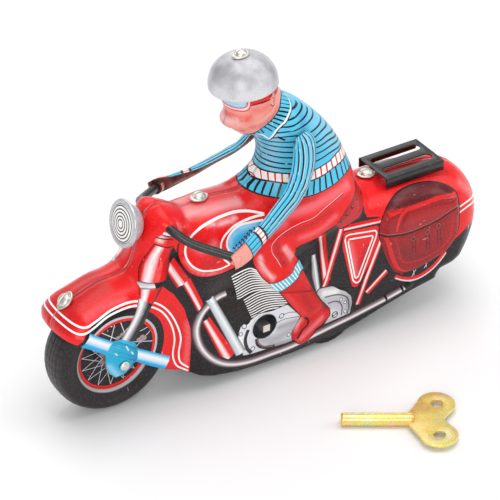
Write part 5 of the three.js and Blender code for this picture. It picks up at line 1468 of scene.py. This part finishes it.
def shank_face(radius):
    """One face of the shank's rolled sheet, which is open along its top."""
    return np.array([[(x, radius * math.cos(t), SHANK_RADIUS + radius * math.sin(t))
        for t in np.linspace(math.radians(94), math.radians(446), 61)] for x in np.linspace(-25, 2, 28)])


rolled, inside_roll = shank_face(SHANK_RADIUS), shank_face(SHANK_BORE)
key.grid(laid(rolled, key_place), WHITE, flip=True)
key.grid(laid(inside_roll, key_place), WHITE)
for x, flip in ((0, False), (-1, True)):
    key.grid(laid(np.array([rolled[x], inside_roll[x]]), key_place), WHITE, flip=flip)
for t in (0, -1):
    key.grid(laid(np.array([rolled[:, t], inside_roll[:, t]]), key_place), WHITE, flip=t == 0)
finished(key.object("winding_key_rolled", ZINC), "winding_key", "yellow_zinc", "winding_key")


# ---------------------------------------------------------------- clockwork finishes

def rubber():
    """Dull grained rubber."""
    s = Surface("rubber")
    s.set(Base_Color=s.mix(s.noise(300, 4), rgb(22, 22, 23), rgb(44, 42, 42)), Roughness=0.75)
    s.bump(s.noise(900, 4, 0.7), 0.00006, 0.6)
    return s.material


FINISH = {"steel": STEEL, "brass": BRASS, "spring_steel": SPRING, "rubber": rubber(), "nickel": NICKEL}
for part in frame["record"]["subparts"]:
    node = frame["nodes"][part["node"]]
    if part["material_slot"] in FINISH:
        node.data.materials.clear()
        node.data.materials.append(FINISH[part["material_slot"]])


# ---------------------------------------------------------------- camera, light and floor

VIEW_ANGLE, CAMERA_DISTANCE, ROOM_LIGHT = 10.56, 1.0251, 0.5
LIT_PLACE = Vector((0, 0.03, 0.05))
camera = linked("camera", bpy.data.cameras.new("camera"))
bpy.context.scene.camera = camera
camera.data.angle = math.radians(VIEW_ANGLE)
camera.data.clip_end = 10
target = Vector((-0.00676, 0.0317, 0.04551))
toward = Vector((-0.4416, -0.7050, 0.5550)).normalized()
camera.location = target + toward * CAMERA_DISTANCE
camera.rotation_euler = toward.to_track_quat("Z", "Y").to_euler()


def lamp_at(name, place, size, power):
    """A softbox that faces the toy."""
    light = bpy.data.lights.new(name, "AREA")
    light.shape = "RECTANGLE"
    light.size, light.size_y = size
    light.energy = power
    obj = linked(name, light)
    obj.location = place
    obj.rotation_euler = (obj.location - LIT_PLACE).to_track_quat("Z", "Y").to_euler()


lamp_at("left_softbox", (-0.9, -1.0, 0.75), (0.8, 0.8), 9)
lamp_at("top_softbox", (0.15, 0.1, 1.4), (1.2, 1.2), 11)
lamp_at("right_softbox", (1.2, -0.5, 0.7), (0.6, 0.9), 3.5)
lamp_at("rear_softbox", (0.3, 1.3, 0.9), (1.2, 0.8), 5)

world = bpy.data.worlds.new("room")
world.use_nodes = True
world.node_tree.nodes["Background"].inputs["Color"].default_value = (1, 1, 1, 1)
world.node_tree.nodes["Background"].inputs["Strength"].default_value = ROOM_LIGHT
bpy.context.scene.world = world
bpy.context.scene.view_settings.view_transform = "Standard"

floor_mesh = bpy.data.meshes.new("floor")
floor_mesh.from_pydata([(-4, -4, 0), (4, -4, 0), (4, 4, 0), (-4, 4, 0)], [], [(0, 1, 2, 3)])
floor = linked("floor", floor_mesh)
paper = Surface("pale_paper")
paper.set(Base_Color=(0.86, 0.86, 0.865, 1), Roughness=0.75)
floor_mesh.materials.append(paper.material)
